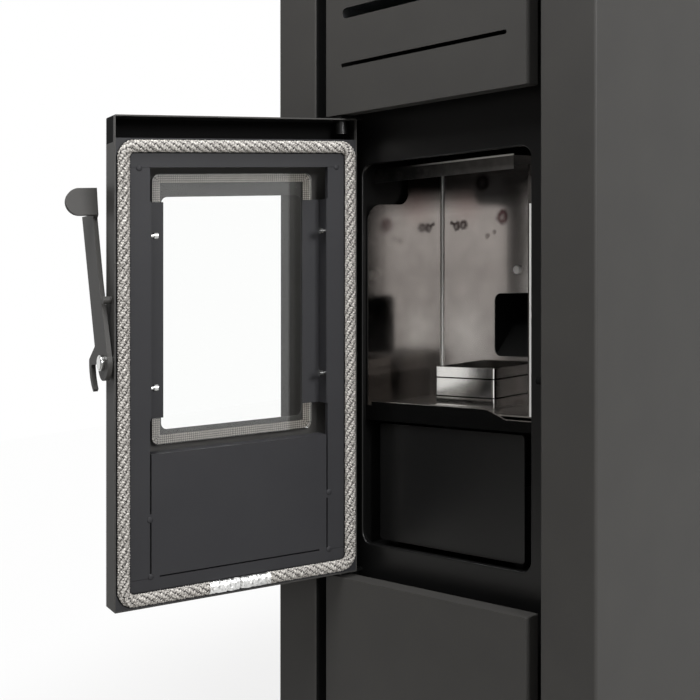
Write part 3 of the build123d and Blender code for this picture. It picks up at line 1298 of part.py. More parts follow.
# Control panel: a plate let into the top behind the front edge, with a display and three buttons
CONTROL_MIDDLE = at_depth((CONTROL_FRONT + CONTROL_BACK) / 2)
CONTROL_DEPTH = CONTROL_BACK - CONTROL_FRONT
CONTROL_LIP_SHEET = 3
DISPLAY_X = -45
BUTTON_X = 36
BUTTON_GAP = 0.3
BOARD_DROP = 11
with BuildPart() as control_panel:
    with BuildSketch(lying(HEIGHT - TOP_SHEET)):
        with Locations((0, CONTROL_MIDDLE)):
            Rectangle(2 * (CONTROL_HALF - CONTACT_GAP), CONTROL_DEPTH - 2 * CONTACT_GAP)
    extrude(amount=TOP_SHEET)
    with BuildSketch(lying(HEIGHT - TOP_SHEET)):
        with Locations((0, CONTROL_MIDDLE)):
            Rectangle(2 * (CONTROL_HALF + CONTROL_LIP), CONTROL_DEPTH + 2 * CONTROL_LIP)
    extrude(amount=-CONTROL_LIP_SHEET)
    with BuildSketch(lying(HEIGHT)):
        with Locations((DISPLAY_X, CONTROL_MIDDLE)):
            Rectangle(DISPLAY_WIDTH, DISPLAY_HEIGHT)
        with Locations((BUTTON_X, CONTROL_MIDDLE)):
            with GridLocations(BUTTON_SPACING, 1, 3, 1):
                Circle(BUTTON_RADIUS + BUTTON_GAP)
    extrude(amount=-TOP_SHEET - CONTROL_LIP_SHEET, mode=Mode.SUBTRACT)
    with BuildSketch(lying(HEIGHT - TOP_SHEET - CONTROL_LIP_SHEET)):
        with Locations((0, CONTROL_MIDDLE)):
            with GridLocations(2 * CONTROL_HALF - LEDGE, CONTROL_DEPTH - LEDGE, 2, 2):
                Circle(CONTROL_LIP_SHEET)
    extrude(amount=CONTROL_LIP_SHEET + TOP_SHEET - BOARD_DROP)
control_panel.part.label = "control_panel"
export_step(control_panel.part, "parts/control_panel.step")

# Display: a dark window over a circuit board that carries it and the three switches
with BuildPart() as display_module:
    with BuildSketch(lying(HEIGHT)):
        with Locations((DISPLAY_X, CONTROL_MIDDLE)):
            Rectangle(DISPLAY_WIDTH, DISPLAY_HEIGHT)
    extrude(amount=-BOARD_DROP)
    with BuildSketch(lying(HEIGHT - BOARD_DROP)):
        with Locations((0, CONTROL_MIDDLE)):
            Rectangle(2 * CONTROL_HALF, CONTROL_DEPTH)
    extrude(amount=-BOARD_SHEET)
display_module.part.label = "display_module"
export_step(display_module.part, "parts/display_module.step")

BUTTON_STEM = 2.5
BUTTON_CAP = 4
BUTTON_NAMES = ("button_down", "button_power", "button_up")
for index, name in enumerate(BUTTON_NAMES):
    button_place = (BUTTON_X + (index - 1) * BUTTON_SPACING, CONTROL_MIDDLE)
    with BuildPart() as button:
        with BuildSketch(lying(HEIGHT - BUTTON_CAP)):
            with Locations(button_place):
                Circle(BUTTON_RADIUS)
        extrude(amount=BUTTON_CAP)
        with BuildSketch(lying(HEIGHT - BUTTON_CAP)):
            with Locations(button_place):
                Circle(BUTTON_STEM)
        extrude(amount=BUTTON_CAP + BUTTON_TRAVEL + CONTACT_GAP - BOARD_DROP)
    button.part.label = name
    export_step(button.part, f"parts/{name}.step")

# Control board: it stands on four feet inside the left side panel
BOARD_BACK = 430
BOARD_FRONT = 290
BOARD_BOTTOM = 470
BOARD_TOP = 640
STANDOFF_LENGTH = 12
STANDOFF_RADIUS = 3
BOARD_MIDDLE = (at_depth((BOARD_FRONT + BOARD_BACK) / 2), (BOARD_BOTTOM + BOARD_TOP) / 2)
BOARD_FACE = -WIDTH / 2 + SHEET + STANDOFF_LENGTH
RELAY_HEIGHT = 15
RELAY_PITCH = 26
with BuildPart() as control_board:
    with BuildSketch(Plane.YZ.offset(BOARD_FACE)):
        with Locations(BOARD_MIDDLE):
            with GridLocations(BOARD_BACK - BOARD_FRONT - LEDGE, BOARD_TOP - BOARD_BOTTOM - LEDGE, 2, 2):
                Circle(STANDOFF_RADIUS)
    extrude(amount=-STANDOFF_LENGTH)
    with BuildSketch(Plane.YZ.offset(BOARD_FACE)):
        with Locations(BOARD_MIDDLE):
            Rectangle(BOARD_BACK - BOARD_FRONT, BOARD_TOP - BOARD_BOTTOM)
    extrude(amount=BOARD_SHEET)
    with BuildSketch(Plane.YZ.offset(BOARD_FACE + BOARD_SHEET)):
        with Locations(BOARD_MIDDLE):
            with GridLocations(RELAY_PITCH, 2 * RELAY_PITCH, 4, 2):
                Rectangle(RELAY_HEIGHT, RELAY_PITCH)
            RectangleRounded(2 * RELAY_PITCH, RELAY_HEIGHT, BEND)
    extrude(amount=RELAY_HEIGHT)
control_board.part.label = "control_board"
export_step(control_board.part, "parts/control_board.step")

# Mains inlet in the rear panel: a moulded housing with a socket, three pins and a rocker switch
INLET_DEPTH = 26
INLET_FLANGE = 3
SOCKET_OFFSET = 9
SOCKET_X = INLET_X - SOCKET_OFFSET
SOCKET_WIDTH = 24
SOCKET_HEIGHT = 16
SOCKET_DEPTH = 16
INLET_PIN_PITCH = 7
INLET_PIN_WIDTH = 2
ROCKER_OFFSET = 15
ROCKER_X = INLET_X + ROCKER_OFFSET
ROCKER_THICKNESS = 6
ROCKER_PIN_REACH = 2
with BuildPart() as power_inlet:
    with BuildSketch(facing(DEPTH)):
        with Locations((INLET_X, INLET_HEIGHT)):
            Rectangle(INLET_WIDTH - CONTACT_GAP, INLET_SIZE_Z - CONTACT_GAP)
    extrude(amount=INLET_DEPTH)
    with BuildSketch(facing(DEPTH)):
        with Locations((INLET_X, INLET_HEIGHT)):
            Rectangle(INLET_WIDTH + 2 * INLET_FLANGE, INLET_SIZE_Z + 2 * INLET_FLANGE)
    extrude(amount=-INLET_FLANGE)
    with BuildSketch(facing(DEPTH + INLET_FLANGE)):
        with Locations((SOCKET_X, INLET_HEIGHT)):
            RectangleRounded(SOCKET_WIDTH, SOCKET_HEIGHT, BEND)
    extrude(amount=SOCKET_DEPTH, mode=Mode.SUBTRACT)
    with BuildSketch(facing(DEPTH + INLET_FLANGE)):
        with Locations((ROCKER_X, INLET_HEIGHT)):
            Rectangle(ROCKER_WIDTH + 1, ROCKER_LENGTH + 1)
    extrude(amount=2 * ROCKER_THICKNESS, mode=Mode.SUBTRACT)
    with BuildSketch(Plane.YZ.offset(INLET_X)):
        with Locations((at_depth(DEPTH), INLET_HEIGHT)):
            Circle(ROCKER_PIN_RADIUS + PIN_CLEARANCE)
    extrude(amount=ROCKER_X - INLET_X + ROCKER_WIDTH / 2 + ROCKER_PIN_REACH + 1, mode=Mode.SUBTRACT)
    with BuildSketch(facing(DEPTH + INLET_FLANGE - SOCKET_DEPTH)):
        with Locations((SOCKET_X, INLET_HEIGHT)):
            with GridLocations(INLET_PIN_PITCH, 1, 3, 1):
                Rectangle(INLET_PIN_WIDTH, 2 * INLET_PIN_WIDTH)
    extrude(amount=INLET_FLANGE - SOCKET_DEPTH)
power_inlet.part.label = "power_inlet"
export_step(power_inlet.part, "parts/power_inlet.step")

with BuildPart() as rocker_switch:
    with BuildSketch(Plane.YZ.offset(ROCKER_X - ROCKER_WIDTH / 2)):
        with BuildLine():
            Polyline(
                (at_depth(DEPTH - ROCKER_THICKNESS / 2), INLET_HEIGHT - ROCKER_LENGTH / 2 + 2),
                (at_depth(DEPTH - ROCKER_THICKNESS / 2), INLET_HEIGHT + ROCKER_LENGTH / 2 - 2),
                (at_depth(DEPTH + INLET_FLANGE + 1), INLET_HEIGHT + ROCKER_LENGTH / 2 - 1),
                (at_depth(DEPTH + INLET_FLANGE - 1), INLET_HEIGHT),
                (at_depth(DEPTH + INLET_FLANGE - 1), INLET_HEIGHT - ROCKER_LENGTH / 2 + 1),
                close=True,
            )
        make_face()
    extrude(amount=ROCKER_WIDTH)
    with BuildSketch(Plane.YZ.offset(ROCKER_X - ROCKER_WIDTH / 2 - ROCKER_PIN_REACH)):
        with Locations((at_depth(DEPTH), INLET_HEIGHT)):
            Circle(ROCKER_PIN_RADIUS)
    extrude(amount=ROCKER_WIDTH + 2 * ROCKER_PIN_REACH)
rocker_switch.part.label = "rocker_switch"
export_step(rocker_switch.part, "parts/rocker_switch.step")

# Fire door: it is drawn in its open position, on planes that stand at its angle
DOOR_X = (cos(radians(DOOR_ANGLE)), -sin(radians(DOOR_ANGLE)), 0)
DOOR_IN = (sin(radians(DOOR_ANGLE)), cos(radians(DOOR_ANGLE)), 0)
HINGE_X = HINGE_FROM_EDGE - PANEL_WIDTH / 2
HINGE_Y = at_depth(HINGE_FROM_FRONT)
DOOR_BOTTOM = DOOR_OPENING_BOTTOM + DOOR_GAP
DOOR_TOP = DOOR_OPENING_TOP - DOOR_GAP
DOOR_MIDDLE = (PANEL_WIDTH / 2, (DOOR_BOTTOM + DOOR_TOP) / 2)


def door_spot(across, behind, height):
    """A point of the door: across from its hinge edge, behind its outer face, and its height."""
    along = across - HINGE_FROM_EDGE
    inward = behind - HINGE_FROM_FRONT
    return (
        HINGE_X + along * DOOR_X[0] + inward * DOOR_IN[0],
        HINGE_Y + along * DOOR_X[1] + inward * DOOR_IN[1],
        height,
    )


def door_plane(behind):
    """The door's own vertical plane this far behind its outer face; X is across, Y is the height."""
    return Plane(origin=door_spot(0, behind, 0), x_dir=DOOR_X, z_dir=(-DOOR_IN[0], -DOOR_IN[1], 0))


def edge_plane(across, behind, height):
    """A plane along the door's free edge: its X points out of the door and its Y is up."""
    return Plane(
        origin=door_spot(across, behind, height),
        x_dir=(-DOOR_IN[0], -DOOR_IN[1], 0),
        z_dir=(-DOOR_X[0], -DOOR_X[1], 0),
    )


# Hinges: a bracket on the face plate at the foot and at the head of the door, each with its pin
HINGE_PLATE_LEFT = 26.5
HINGE_PLATE_RIGHT = 10.5
HINGE_PLATE_FRONT = 3
PLATE_LIFT = 0.75
pin_spot = (HINGE_X, HINGE_Y)
bush_foot = DOOR_BOTTOM + DOOR_SHEET
bush_head = DOOR_TOP - DOOR_SHEET
with BuildPart() as door_hinges:
    for bottom in (DOOR_OPENING_BOTTOM + PLATE_LIFT, DOOR_OPENING_TOP - PLATE_LIFT - HINGE_PLATE):
        box_between(
            (HINGE_X - HINGE_PLATE_LEFT, HINGE_X + HINGE_PLATE_RIGHT),
            (HINGE_PLATE_FRONT, FACE_PLATE_DEPTH),
            (bottom, bottom + HINGE_PLATE),
        )
    with BuildSketch(lying(DOOR_OPENING_BOTTOM + PLATE_LIFT)):
        with Locations(pin_spot):
            Circle(HINGE_PIN_RADIUS)
    extrude(amount=bush_foot + HINGE_BUSH_LENGTH - DOOR_OPENING_BOTTOM - PLATE_LIFT)
    with BuildSketch(lying(DOOR_OPENING_TOP - PLATE_LIFT)):
        with Locations(pin_spot):
            Circle(HINGE_PIN_RADIUS)
    extrude(amount=bush_head - HINGE_BUSH_LENGTH - DOOR_OPENING_TOP + PLATE_LIFT)
door_hinges.part.label = "door_hinges"
export_step(door_hinges.part, "parts/door_hinges.step")

with BuildPart() as hinge_bushes:
    for bottom in (bush_foot, bush_head - HINGE_BUSH_LENGTH):
        with BuildSketch(lying(bottom)):
            with Locations(pin_spot):
                Circle(HINGE_BUSH_RADIUS)
                Circle(HINGE_PIN_RADIUS + PIN_CLEARANCE, mode=Mode.SUBTRACT)
        extrude(amount=HINGE_BUSH_LENGTH)
hinge_bushes.part.label = "hinge_bushes"
export_step(hinge_bushes.part, "parts/hinge_bushes.step")

# Door skin: the outer tray with the window, bored for the hinge pins and for the handle's stud
WINDOW_MIDDLE = (WINDOW_LEFT + WINDOW_WIDTH / 2, (WINDOW_BOTTOM + WINDOW_TOP) / 2)
with BuildPart() as door_skin:
    with BuildSketch(door_plane(0)):
        with Locations(DOOR_MIDDLE):
            RectangleRounded(PANEL_WIDTH, DOOR_TOP - DOOR_BOTTOM, DOOR_SHEET)
    extrude(amount=-DOOR_THICKNESS)
    with BuildSketch(door_plane(DOOR_SHEET)):
        with Locations(DOOR_MIDDLE):
            Rectangle(PANEL_WIDTH - 2 * DOOR_SHEET, DOOR_TOP - DOOR_BOTTOM - 2 * DOOR_SHEET)
    extrude(amount=DOOR_SHEET - DOOR_THICKNESS, mode=Mode.SUBTRACT)
    with BuildSketch(door_plane(0)):
        with Locations(WINDOW_MIDDLE):
            RectangleRounded(WINDOW_WIDTH, WINDOW_TOP - WINDOW_BOTTOM, WINDOW_RADIUS)
    extrude(amount=-DOOR_SHEET, mode=Mode.SUBTRACT)
    with BuildSketch(lying(DOOR_BOTTOM)):
        with Locations(pin_spot):
            Circle(HINGE_PIN_RADIUS + PIN_CLEARANCE)
    extrude(amount=DOOR_TOP - DOOR_BOTTOM, mode=Mode.SUBTRACT)
    with BuildSketch(edge_plane(PANEL_WIDTH, LEVER_PIVOT_BEHIND, LEVER_PIVOT_HEIGHT)):
        Circle(LEVER_STUD_RADIUS)
    extrude(amount=DOOR_SHEET, mode=Mode.SUBTRACT)
    with BuildSketch(edge_plane(PANEL_WIDTH, STOP_BEHIND, STOP_HEIGHT)):
        Circle(STOP_RADIUS)
    extrude(amount=-STOP_LENGTH)
door_skin.part.label = "door_skin"
export_step(door_skin.part, "parts/door_skin.step")

# Inner frame: a flat ring let into the skin, with the rope's groove and the opening over the glass
GASKET_WIDTH = PANEL_WIDTH - 2 * ROPE_INSET - ROPE_WIDTH
GASKET_HEIGHT = ROPE_TOP - ROPE_BOTTOM - ROPE_WIDTH
GASKET_MIDDLE = (PANEL_WIDTH / 2, (ROPE_TOP + ROPE_BOTTOM) / 2)
FRAME_FRONT = DOOR_THICKNESS - FRAME_THICKNESS
groove_left = ROPE_INSET + (ROPE_WIDTH + GROOVE_WIDTH) / 2
groove_right = PANEL_WIDTH - groove_left
with BuildPart() as door_inner_frame:
    with BuildSketch(door_plane(FRAME_FRONT)):
        with Locations((PANEL_WIDTH / 2, (bush_foot + FRAME_TOP) / 2)):
            Rectangle(PANEL_WIDTH - 2 * DOOR_SHEET, FRAME_TOP - bush_foot)
        with Locations(((FRAME_LEFT + FRAME_RIGHT) / 2, (FRAME_OPEN_BOTTOM + FRAME_OPEN_TOP) / 2)):
            Rectangle(FRAME_RIGHT - FRAME_LEFT, FRAME_OPEN_TOP - FRAME_OPEN_BOTTOM, mode=Mode.SUBTRACT)
    extrude(amount=-FRAME_THICKNESS)
    with BuildSketch(door_plane(DOOR_THICKNESS)):
        with Locations(GASKET_MIDDLE):
            RectangleRounded(
                GASKET_WIDTH + GROOVE_WIDTH, GASKET_HEIGHT + GROOVE_WIDTH, ROPE_BEND + GROOVE_WIDTH / 2
            )
            RectangleRounded(
                GASKET_WIDTH - GROOVE_WIDTH,
                GASKET_HEIGHT - GROOVE_WIDTH,
                ROPE_BEND - GROOVE_WIDTH / 2,
                mode=Mode.SUBTRACT,
            )
    extrude(amount=GROOVE_DEPTH, mode=Mode.SUBTRACT)
    with BuildSketch(door_plane(DOOR_THICKNESS)):
        for left, right in ((groove_left, FRAME_LEFT), (FRAME_RIGHT, groove_right)):
            for height in (FRAME_OPEN_BOTTOM, FRAME_OPEN_TOP):
                with Locations(((left + right) / 2, height)):
                    Rectangle(right - left, SEAM_WIDTH)
    extrude(amount=SEAM_DEPTH, mode=Mode.SUBTRACT)
    for side, edge in ((-1, FRAME_LEFT), (1, FRAME_RIGHT)):
        for height in CLIP_SCREW_HEIGHTS:
            with BuildSketch(edge_plane(edge, CLIP_SCREW_BEHIND, height)):
                Circle(CLIP_SHANK_RADIUS)
            extrude(amount=-side * CLIP_SHANK_BITE, mode=Mode.SUBTRACT)
door_inner_frame.part.label = "door_inner_frame"
export_step(door_inner_frame.part, "parts/door_inner_frame.step")

# Rope gasket: one length that runs round the groove, its ends held together by a foil sleeve
ROPE_HALF_DEPTH = (ROPE_PROUD + GROOVE_DEPTH - CONTACT_GAP) / 2
ROPE_BEHIND = DOOR_THICKNESS + ROPE_PROUD - ROPE_HALF_DEPTH
ROPE_FOOT = ROPE_BOTTOM + ROPE_WIDTH / 2
rope_left = (PANEL_WIDTH - GASKET_WIDTH) / 2
rope_right = rope_left + GASKET_WIDTH
rope_head = ROPE_FOOT + GASKET_HEIGHT
SPLICE_END = SPLICE_START + SPLICE_LENGTH


def rope_section(across):
    """The rope's oval section, across the bottom run of the gasket."""
    return Plane(origin=door_spot(across, ROPE_BEHIND, ROPE_FOOT), x_dir=(0, 0, 1), z_dir=DOOR_X)


with BuildPart() as door_gasket:
    with BuildLine(door_plane(ROPE_BEHIND)) as rope_path:
        Line((SPLICE_START, ROPE_FOOT), (rope_left + ROPE_BEND, ROPE_FOOT))
        RadiusArc((rope_left + ROPE_BEND, ROPE_FOOT), (rope_left, ROPE_FOOT + ROPE_BEND), ROPE_BEND)
        Line((rope_left, ROPE_FOOT + ROPE_BEND), (rope_left, rope_head - ROPE_BEND))
        RadiusArc((rope_left, rope_head - ROPE_BEND), (rope_left + ROPE_BEND, rope_head), ROPE_BEND)
        Line((rope_left + ROPE_BEND, rope_head), (rope_right - ROPE_BEND, rope_head))
        RadiusArc((rope_right - ROPE_BEND, rope_head), (rope_right, rope_head - ROPE_BEND), ROPE_BEND)
        Line((rope_right, rope_head - ROPE_BEND), (rope_right, ROPE_FOOT + ROPE_BEND))
        RadiusArc((rope_right, ROPE_FOOT + ROPE_BEND), (rope_right - ROPE_BEND, ROPE_FOOT), ROPE_BEND)
        Line((rope_right - ROPE_BEND, ROPE_FOOT), (SPLICE_END, ROPE_FOOT))
    with BuildSketch(rope_section(SPLICE_START)):
        Ellipse(ROPE_WIDTH / 2, ROPE_HALF_DEPTH)
    sweep(path=rope_path.line)
door_gasket.part.label = "door_gasket"
export_step(door_gasket.part, "parts/door_gasket.step")

with BuildPart() as gasket_splice:
    with BuildSketch(rope_section(SPLICE_START)):
        Ellipse(ROPE_WIDTH / 2, ROPE_HALF_DEPTH)
    extrude(amount=SPLICE_LENGTH)
gasket_splice.part.label = "gasket_splice"
export_step(gasket_splice.part, "parts/gasket_splice.step")

# Glass: a ceramic pane on a woven seal behind the window, held by a clip along each side
GLASS_MIDDLE = (GLASS_LEFT + GLASS_WIDTH / 2, (GLASS_BOTTOM + GLASS_TOP) / 2)
GLASS_FRONT = DOOR_SHEET + SEAL_TAPE_THICKNESS
GLASS_BACK = GLASS_FRONT + GLASS_THICKNESS
with BuildPart() as glass_seal:
    with BuildSketch(door_plane(DOOR_SHEET)):
        with Locations(GLASS_MIDDLE):
            RectangleRounded(GLASS_WIDTH, GLASS_TOP - GLASS_BOTTOM, GLASS_RADIUS)
            Rectangle(
                GLASS_WIDTH - 2 * SEAL_TAPE_WIDTH,
                GLASS_TOP - GLASS_BOTTOM - 2 * SEAL_TAPE_WIDTH,
                mode=Mode.SUBTRACT,
            )
    extrude(amount=-SEAL_TAPE_THICKNESS)
glass_seal.part.label = "glass_seal"
export_step(glass_seal.part, "parts/glass_seal.step")

with BuildPart() as door_glass:
    with BuildSketch(door_plane(GLASS_FRONT)):
        with Locations(GLASS_MIDDLE):
            RectangleRounded(GLASS_WIDTH, GLASS_TOP - GLASS_BOTTOM, GLASS_RADIUS)
    extrude(amount=-GLASS_THICKNESS)
door_glass.part.label = "door_glass"
export_step(door_glass.part, "parts/door_glass.step")

CLIP_WEB_LENGTH = DOOR_THICKNESS - CONTACT_GAP - GLASS_BACK
clip_middle = (CLIP_BOTTOM + CLIP_TOP) / 2
clip_sides = (
    (1, FRAME_LEFT, GLASS_LEFT + CLIP_OVERLAP),
    (-1, FRAME_RIGHT, GLASS_LEFT + GLASS_WIDTH - CLIP_OVERLAP),
)
with BuildPart() as glass_clips:
    for side, edge, pad_end in clip_sides:
        with BuildSketch(door_plane(GLASS_BACK)):
            with Locations((edge + side * CLIP_SHEET / 2, clip_middle)):
                Rectangle(CLIP_SHEET, CLIP_TOP - CLIP_BOTTOM)
        extrude(amount=-CLIP_WEB_LENGTH)
        with BuildSketch(door_plane(GLASS_BACK)):
            with Locations(((edge + pad_end) / 2, clip_middle)):
                Rectangle(abs(pad_end - edge), CLIP_TOP - CLIP_BOTTOM)
        extrude(amount=-CLIP_SHEET)
        for height in CLIP_SCREW_HEIGHTS:
            with BuildSketch(edge_plane(edge, CLIP_SCREW_BEHIND, height)):
                Circle(CLIP_SHANK_RADIUS)
            extrude(amount=-side * CLIP_SHEET, mode=Mode.SUBTRACT)
glass_clips.part.label = "glass_clips"
export_step(glass_clips.part, "parts/glass_clips.step")

# Clip screws: two on each side, through the clip into the edge of the inner frame
with BuildPart() as clip_screws:
    for side, edge, pad_end in clip_sides:
        for height in CLIP_SCREW_HEIGHTS:
            with BuildSketch(edge_plane(edge - side * CLIP_SHANK_BITE, CLIP_SCREW_BEHIND, height)):
                Circle(CLIP_SHANK_RADIUS)
            extrude(amount=-side * (CLIP_SHANK_BITE + CLIP_HEAD_STAND))
            with BuildSketch(edge_plane(edge + side * CLIP_HEAD_STAND, CLIP_SCREW_BEHIND, height)):
                Circle(CLIP_SCREW_RADIUS)
            extrude(amount=-side * CLIP_HEAD_HEIGHT)
clip_screws.part.label = "clip_screws"
export_step(clip_screws.part, "parts/clip_screws.step")

# Lower plate: level with the frame below the glass, held by four tabs, its top folded towards the skin
LOWER_PLATE_FRONT = DOOR_THICKNESS - LOWER_PLATE_SHEET
LOWER_FOLD_FRONT = 8
plate_left = FRAME_LEFT + LOWER_PLATE_SLIT
plate_right = FRAME_RIGHT - LOWER_PLATE_SLIT
plate_bottom = FRAME_OPEN_BOTTOM + LOWER_PLATE_SLIT
plate_across = (plate_left + plate_right) / 2
with BuildPart() as door_lower_plate:
    with BuildSketch(door_plane(LOWER_PLATE_FRONT)):
        with Locations((plate_across, (plate_bottom + LOWER_PLATE_TOP) / 2)):
            Rectangle(plate_right - plate_left, LOWER_PLATE_TOP - plate_bottom)
        with Locations(((FRAME_LEFT + FRAME_RIGHT) / 2, LOWER_TAB_HEIGHT)):
            Rectangle(FRAME_RIGHT - FRAME_LEFT, LOWER_TAB_WIDTH)
        for foot in (plate_left, plate_right - LOWER_TAB_WIDTH):
            with Locations((foot + LOWER_TAB_WIDTH / 2, FRAME_OPEN_BOTTOM + LOWER_PLATE_SLIT)):
                Rectangle(LOWER_TAB_WIDTH, 2 * LOWER_PLATE_SLIT)
    extrude(amount=-LOWER_PLATE_SHEET)
    with BuildSketch(door_plane(LOWER_FOLD_FRONT)):
        with Locations((plate_across, LOWER_PLATE_TOP - LOWER_PLATE_SHEET / 2)):
            Rectangle(plate_right - plate_left, LOWER_PLATE_SHEET)
    extrude(amount=LOWER_FOLD_FRONT - LOWER_PLATE_FRONT)
door_lower_plate.part.label = "door_lower_plate"
export_step(door_lower_plate.part, "parts/door_lower_plate.step")

# Handle lever: a flat bar with a claw, free to turn on its stud, and a finger tab bent off its top
LEVER_FACE = edge_plane(PANEL_WIDTH + LEVER_OFFSET, LEVER_PIVOT_BEHIND, LEVER_PIVOT_HEIGHT)
LEVER_BACK = LEVER_OFFSET + LEVER_PLATE
BAR_TOP_OUT = 82.6
BAR_TOP_IN = 38.9
BAR_WAIST_OUT = 15
BAR_WAIST_HEIGHT = 86.8
BAR_FOOT = (-18, 5)
CLAW_SHOULDER = (31, 16)
CLAW_CROWN = (53.4, 1)
CLAW_OUTER_RADIUS = CLAW_INNER_RADIUS + CLAW_WIDTH
SLOT_INNER_RADIUS = 22
tab_in = BAR_TOP_IN - LEVER_PLATE
tab_top = LEVER_BAR_TOP + LEVER_TAB_HEIGHT * cos(radians(LEVER_TAB_LEAN))
tab_lean = LEVER_TAB_HEIGHT * sin(radians(LEVER_TAB_LEAN))
tab_slope = (cos(radians(LEVER_TAB_LEAN)), sin(radians(LEVER_TAB_LEAN)))


def on_circle(radius, angle):
    """A point on a circle about the lever's pivot."""
    return (radius * cos(radians(angle)), radius * sin(radians(angle)))


with BuildPart() as handle_lever:
    with BuildSketch(LEVER_FACE):
        Circle(LEVER_BOSS_RADIUS)
        with BuildLine():
            Polyline(
                BAR_FOOT,
                (BAR_WAIST_OUT, BAR_WAIST_HEIGHT),
                (BAR_TOP_IN, LEVER_BAR_TOP),
                (BAR_TOP_OUT, LEVER_BAR_TOP),
                CLAW_SHOULDER,
                on_circle(SLOT_INNER_RADIUS, CLAW_ROOT_ANGLE),
                (0, -LEVER_BOSS_RADIUS),
                close=True,
            )
        make_face()
        with BuildLine():
            Polyline(
                CLAW_SHOULDER,
                CLAW_CROWN,
                on_circle(CLAW_OUTER_RADIUS, CLAW_ROOT_ANGLE),
                on_circle(CLAW_INNER_RADIUS, CLAW_ROOT_ANGLE),
                on_circle(SLOT_INNER_RADIUS, CLAW_ROOT_ANGLE),
                (BAR_WAIST_OUT, LEVER_BOSS_RADIUS),
                close=True,
            )
        make_face()
        with BuildLine():
            Line(
                on_circle(CLAW_INNER_RADIUS, CLAW_END_ANGLE),
                on_circle(CLAW_OUTER_RADIUS - 4, CLAW_END_ANGLE),
            )
            ThreePointArc(
                on_circle(CLAW_OUTER_RADIUS - 4, CLAW_END_ANGLE),
                on_circle(CLAW_OUTER_RADIUS - 1, (CLAW_END_ANGLE + CLAW_ROOT_ANGLE) / 2),
                on_circle(CLAW_OUTER_RADIUS, CLAW_ROOT_ANGLE),
            )
            Line(
                on_circle(CLAW_OUTER_RADIUS, CLAW_ROOT_ANGLE),
                on_circle(CLAW_INNER_RADIUS, CLAW_ROOT_ANGLE),
            )
            ThreePointArc(
                on_circle(CLAW_INNER_RADIUS, CLAW_ROOT_ANGLE),
                on_circle(CLAW_INNER_RADIUS, (CLAW_END_ANGLE + CLAW_ROOT_ANGLE) / 2),
                on_circle(CLAW_INNER_RADIUS, CLAW_END_ANGLE),
            )
        make_face()
        with BuildLine():
            Polyline(
                (tab_in + tab_lean, tab_top),
                (BAR_TOP_IN + tab_lean, tab_top),
                (BAR_TOP_IN + LEVER_PLATE, LEVER_BAR_TOP),
                (BAR_TOP_IN, LEVER_BAR_TOP - LEVER_PLATE),
                (tab_in, LEVER_BAR_TOP),
                close=True,
            )
        make_face()
        Circle(LEVER_STUD_RADIUS + PIN_CLEARANCE, mode=Mode.SUBTRACT)
    extrude(amount=-LEVER_PLATE)
    tab_plane = Plane(
        origin=door_spot(
            PANEL_WIDTH + LEVER_OFFSET, LEVER_PIVOT_BEHIND - tab_in, LEVER_PIVOT_HEIGHT + LEVER_BAR_TOP
        ),
        x_dir=DOOR_X,
        z_dir=(-tab_slope[0] * DOOR_IN[0], -tab_slope[0] * DOOR_IN[1], -tab_slope[1]),
    )
    tab_straight = LEVER_TAB_LENGTH - LEVER_TAB_HEIGHT / 2
    with BuildSketch(tab_plane):
        with Locations((tab_straight / 2, LEVER_TAB_HEIGHT / 2)):
            Rectangle(tab_straight, LEVER_TAB_HEIGHT)
        with Locations((tab_straight, LEVER_TAB_HEIGHT / 2)):
            Circle(LEVER_TAB_HEIGHT / 2)
    extrude(amount=LEVER_PLATE)
handle_lever.part.label = "handle_lever"
export_step(handle_lever.part, "parts/handle_lever.step")

# Handle pivot: a shouldered stud through the door's edge, with a pan head outside the lever
SHOULDER_RADIUS = 9
STUD_INSIDE = 6
HEAD_GAP = 0.1
pivot_plane = edge_plane(PANEL_WIDTH, LEVER_PIVOT_BEHIND, LEVER_PIVOT_HEIGHT)
with BuildPart() as handle_pivot:
    with BuildSketch(pivot_plane.offset(STUD_INSIDE)):
        Circle(LEVER_STUD_RADIUS)
    extrude(amount=-STUD_INSIDE - LEVER_BACK - HEAD_GAP - LEVER_HEAD_HEIGHT)
    with BuildSketch(pivot_plane):
        Circle(SHOULDER_RADIUS)
    extrude(amount=HEAD_GAP - LEVER_OFFSET)
    with BuildSketch(pivot_plane.offset(-LEVER_BACK - HEAD_GAP)):
        Circle(LEVER_HEAD_RADIUS)
    extrude(amount=-LEVER_HEAD_HEIGHT)
    fillet(handle_pivot.faces().sort_by(Axis(LEVER_FACE.origin, DOOR_X))[-1].edges(), LEVER_HEAD_HEIGHT / 3)
handle_pivot.part.label = "handle_pivot"
export_step(handle_pivot.part, "parts/handle_pivot.step")
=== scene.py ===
import math

import bpy
from mathutils import Matrix, Vector, noise


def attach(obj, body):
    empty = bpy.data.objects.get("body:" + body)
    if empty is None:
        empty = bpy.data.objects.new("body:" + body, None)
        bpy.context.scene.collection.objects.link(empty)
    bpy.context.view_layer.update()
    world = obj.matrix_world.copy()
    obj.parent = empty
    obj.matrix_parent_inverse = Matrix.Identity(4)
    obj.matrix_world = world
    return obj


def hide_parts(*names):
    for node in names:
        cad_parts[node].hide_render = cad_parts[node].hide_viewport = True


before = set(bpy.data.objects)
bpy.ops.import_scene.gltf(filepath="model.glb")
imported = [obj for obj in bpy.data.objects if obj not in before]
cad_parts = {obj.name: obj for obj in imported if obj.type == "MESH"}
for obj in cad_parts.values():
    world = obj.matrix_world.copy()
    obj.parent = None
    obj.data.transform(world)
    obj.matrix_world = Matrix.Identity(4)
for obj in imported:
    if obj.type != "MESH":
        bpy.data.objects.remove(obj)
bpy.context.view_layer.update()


# Camera: a level view from the front right, at the height of the glass. The picture was squared up
# so that uprights stay upright while level lines still run a little downhill, which the lean gives.
CAMERA_SPOT = (0.8676, -1.2092, 0.575)
CAMERA_TURN = math.radians(45.07)
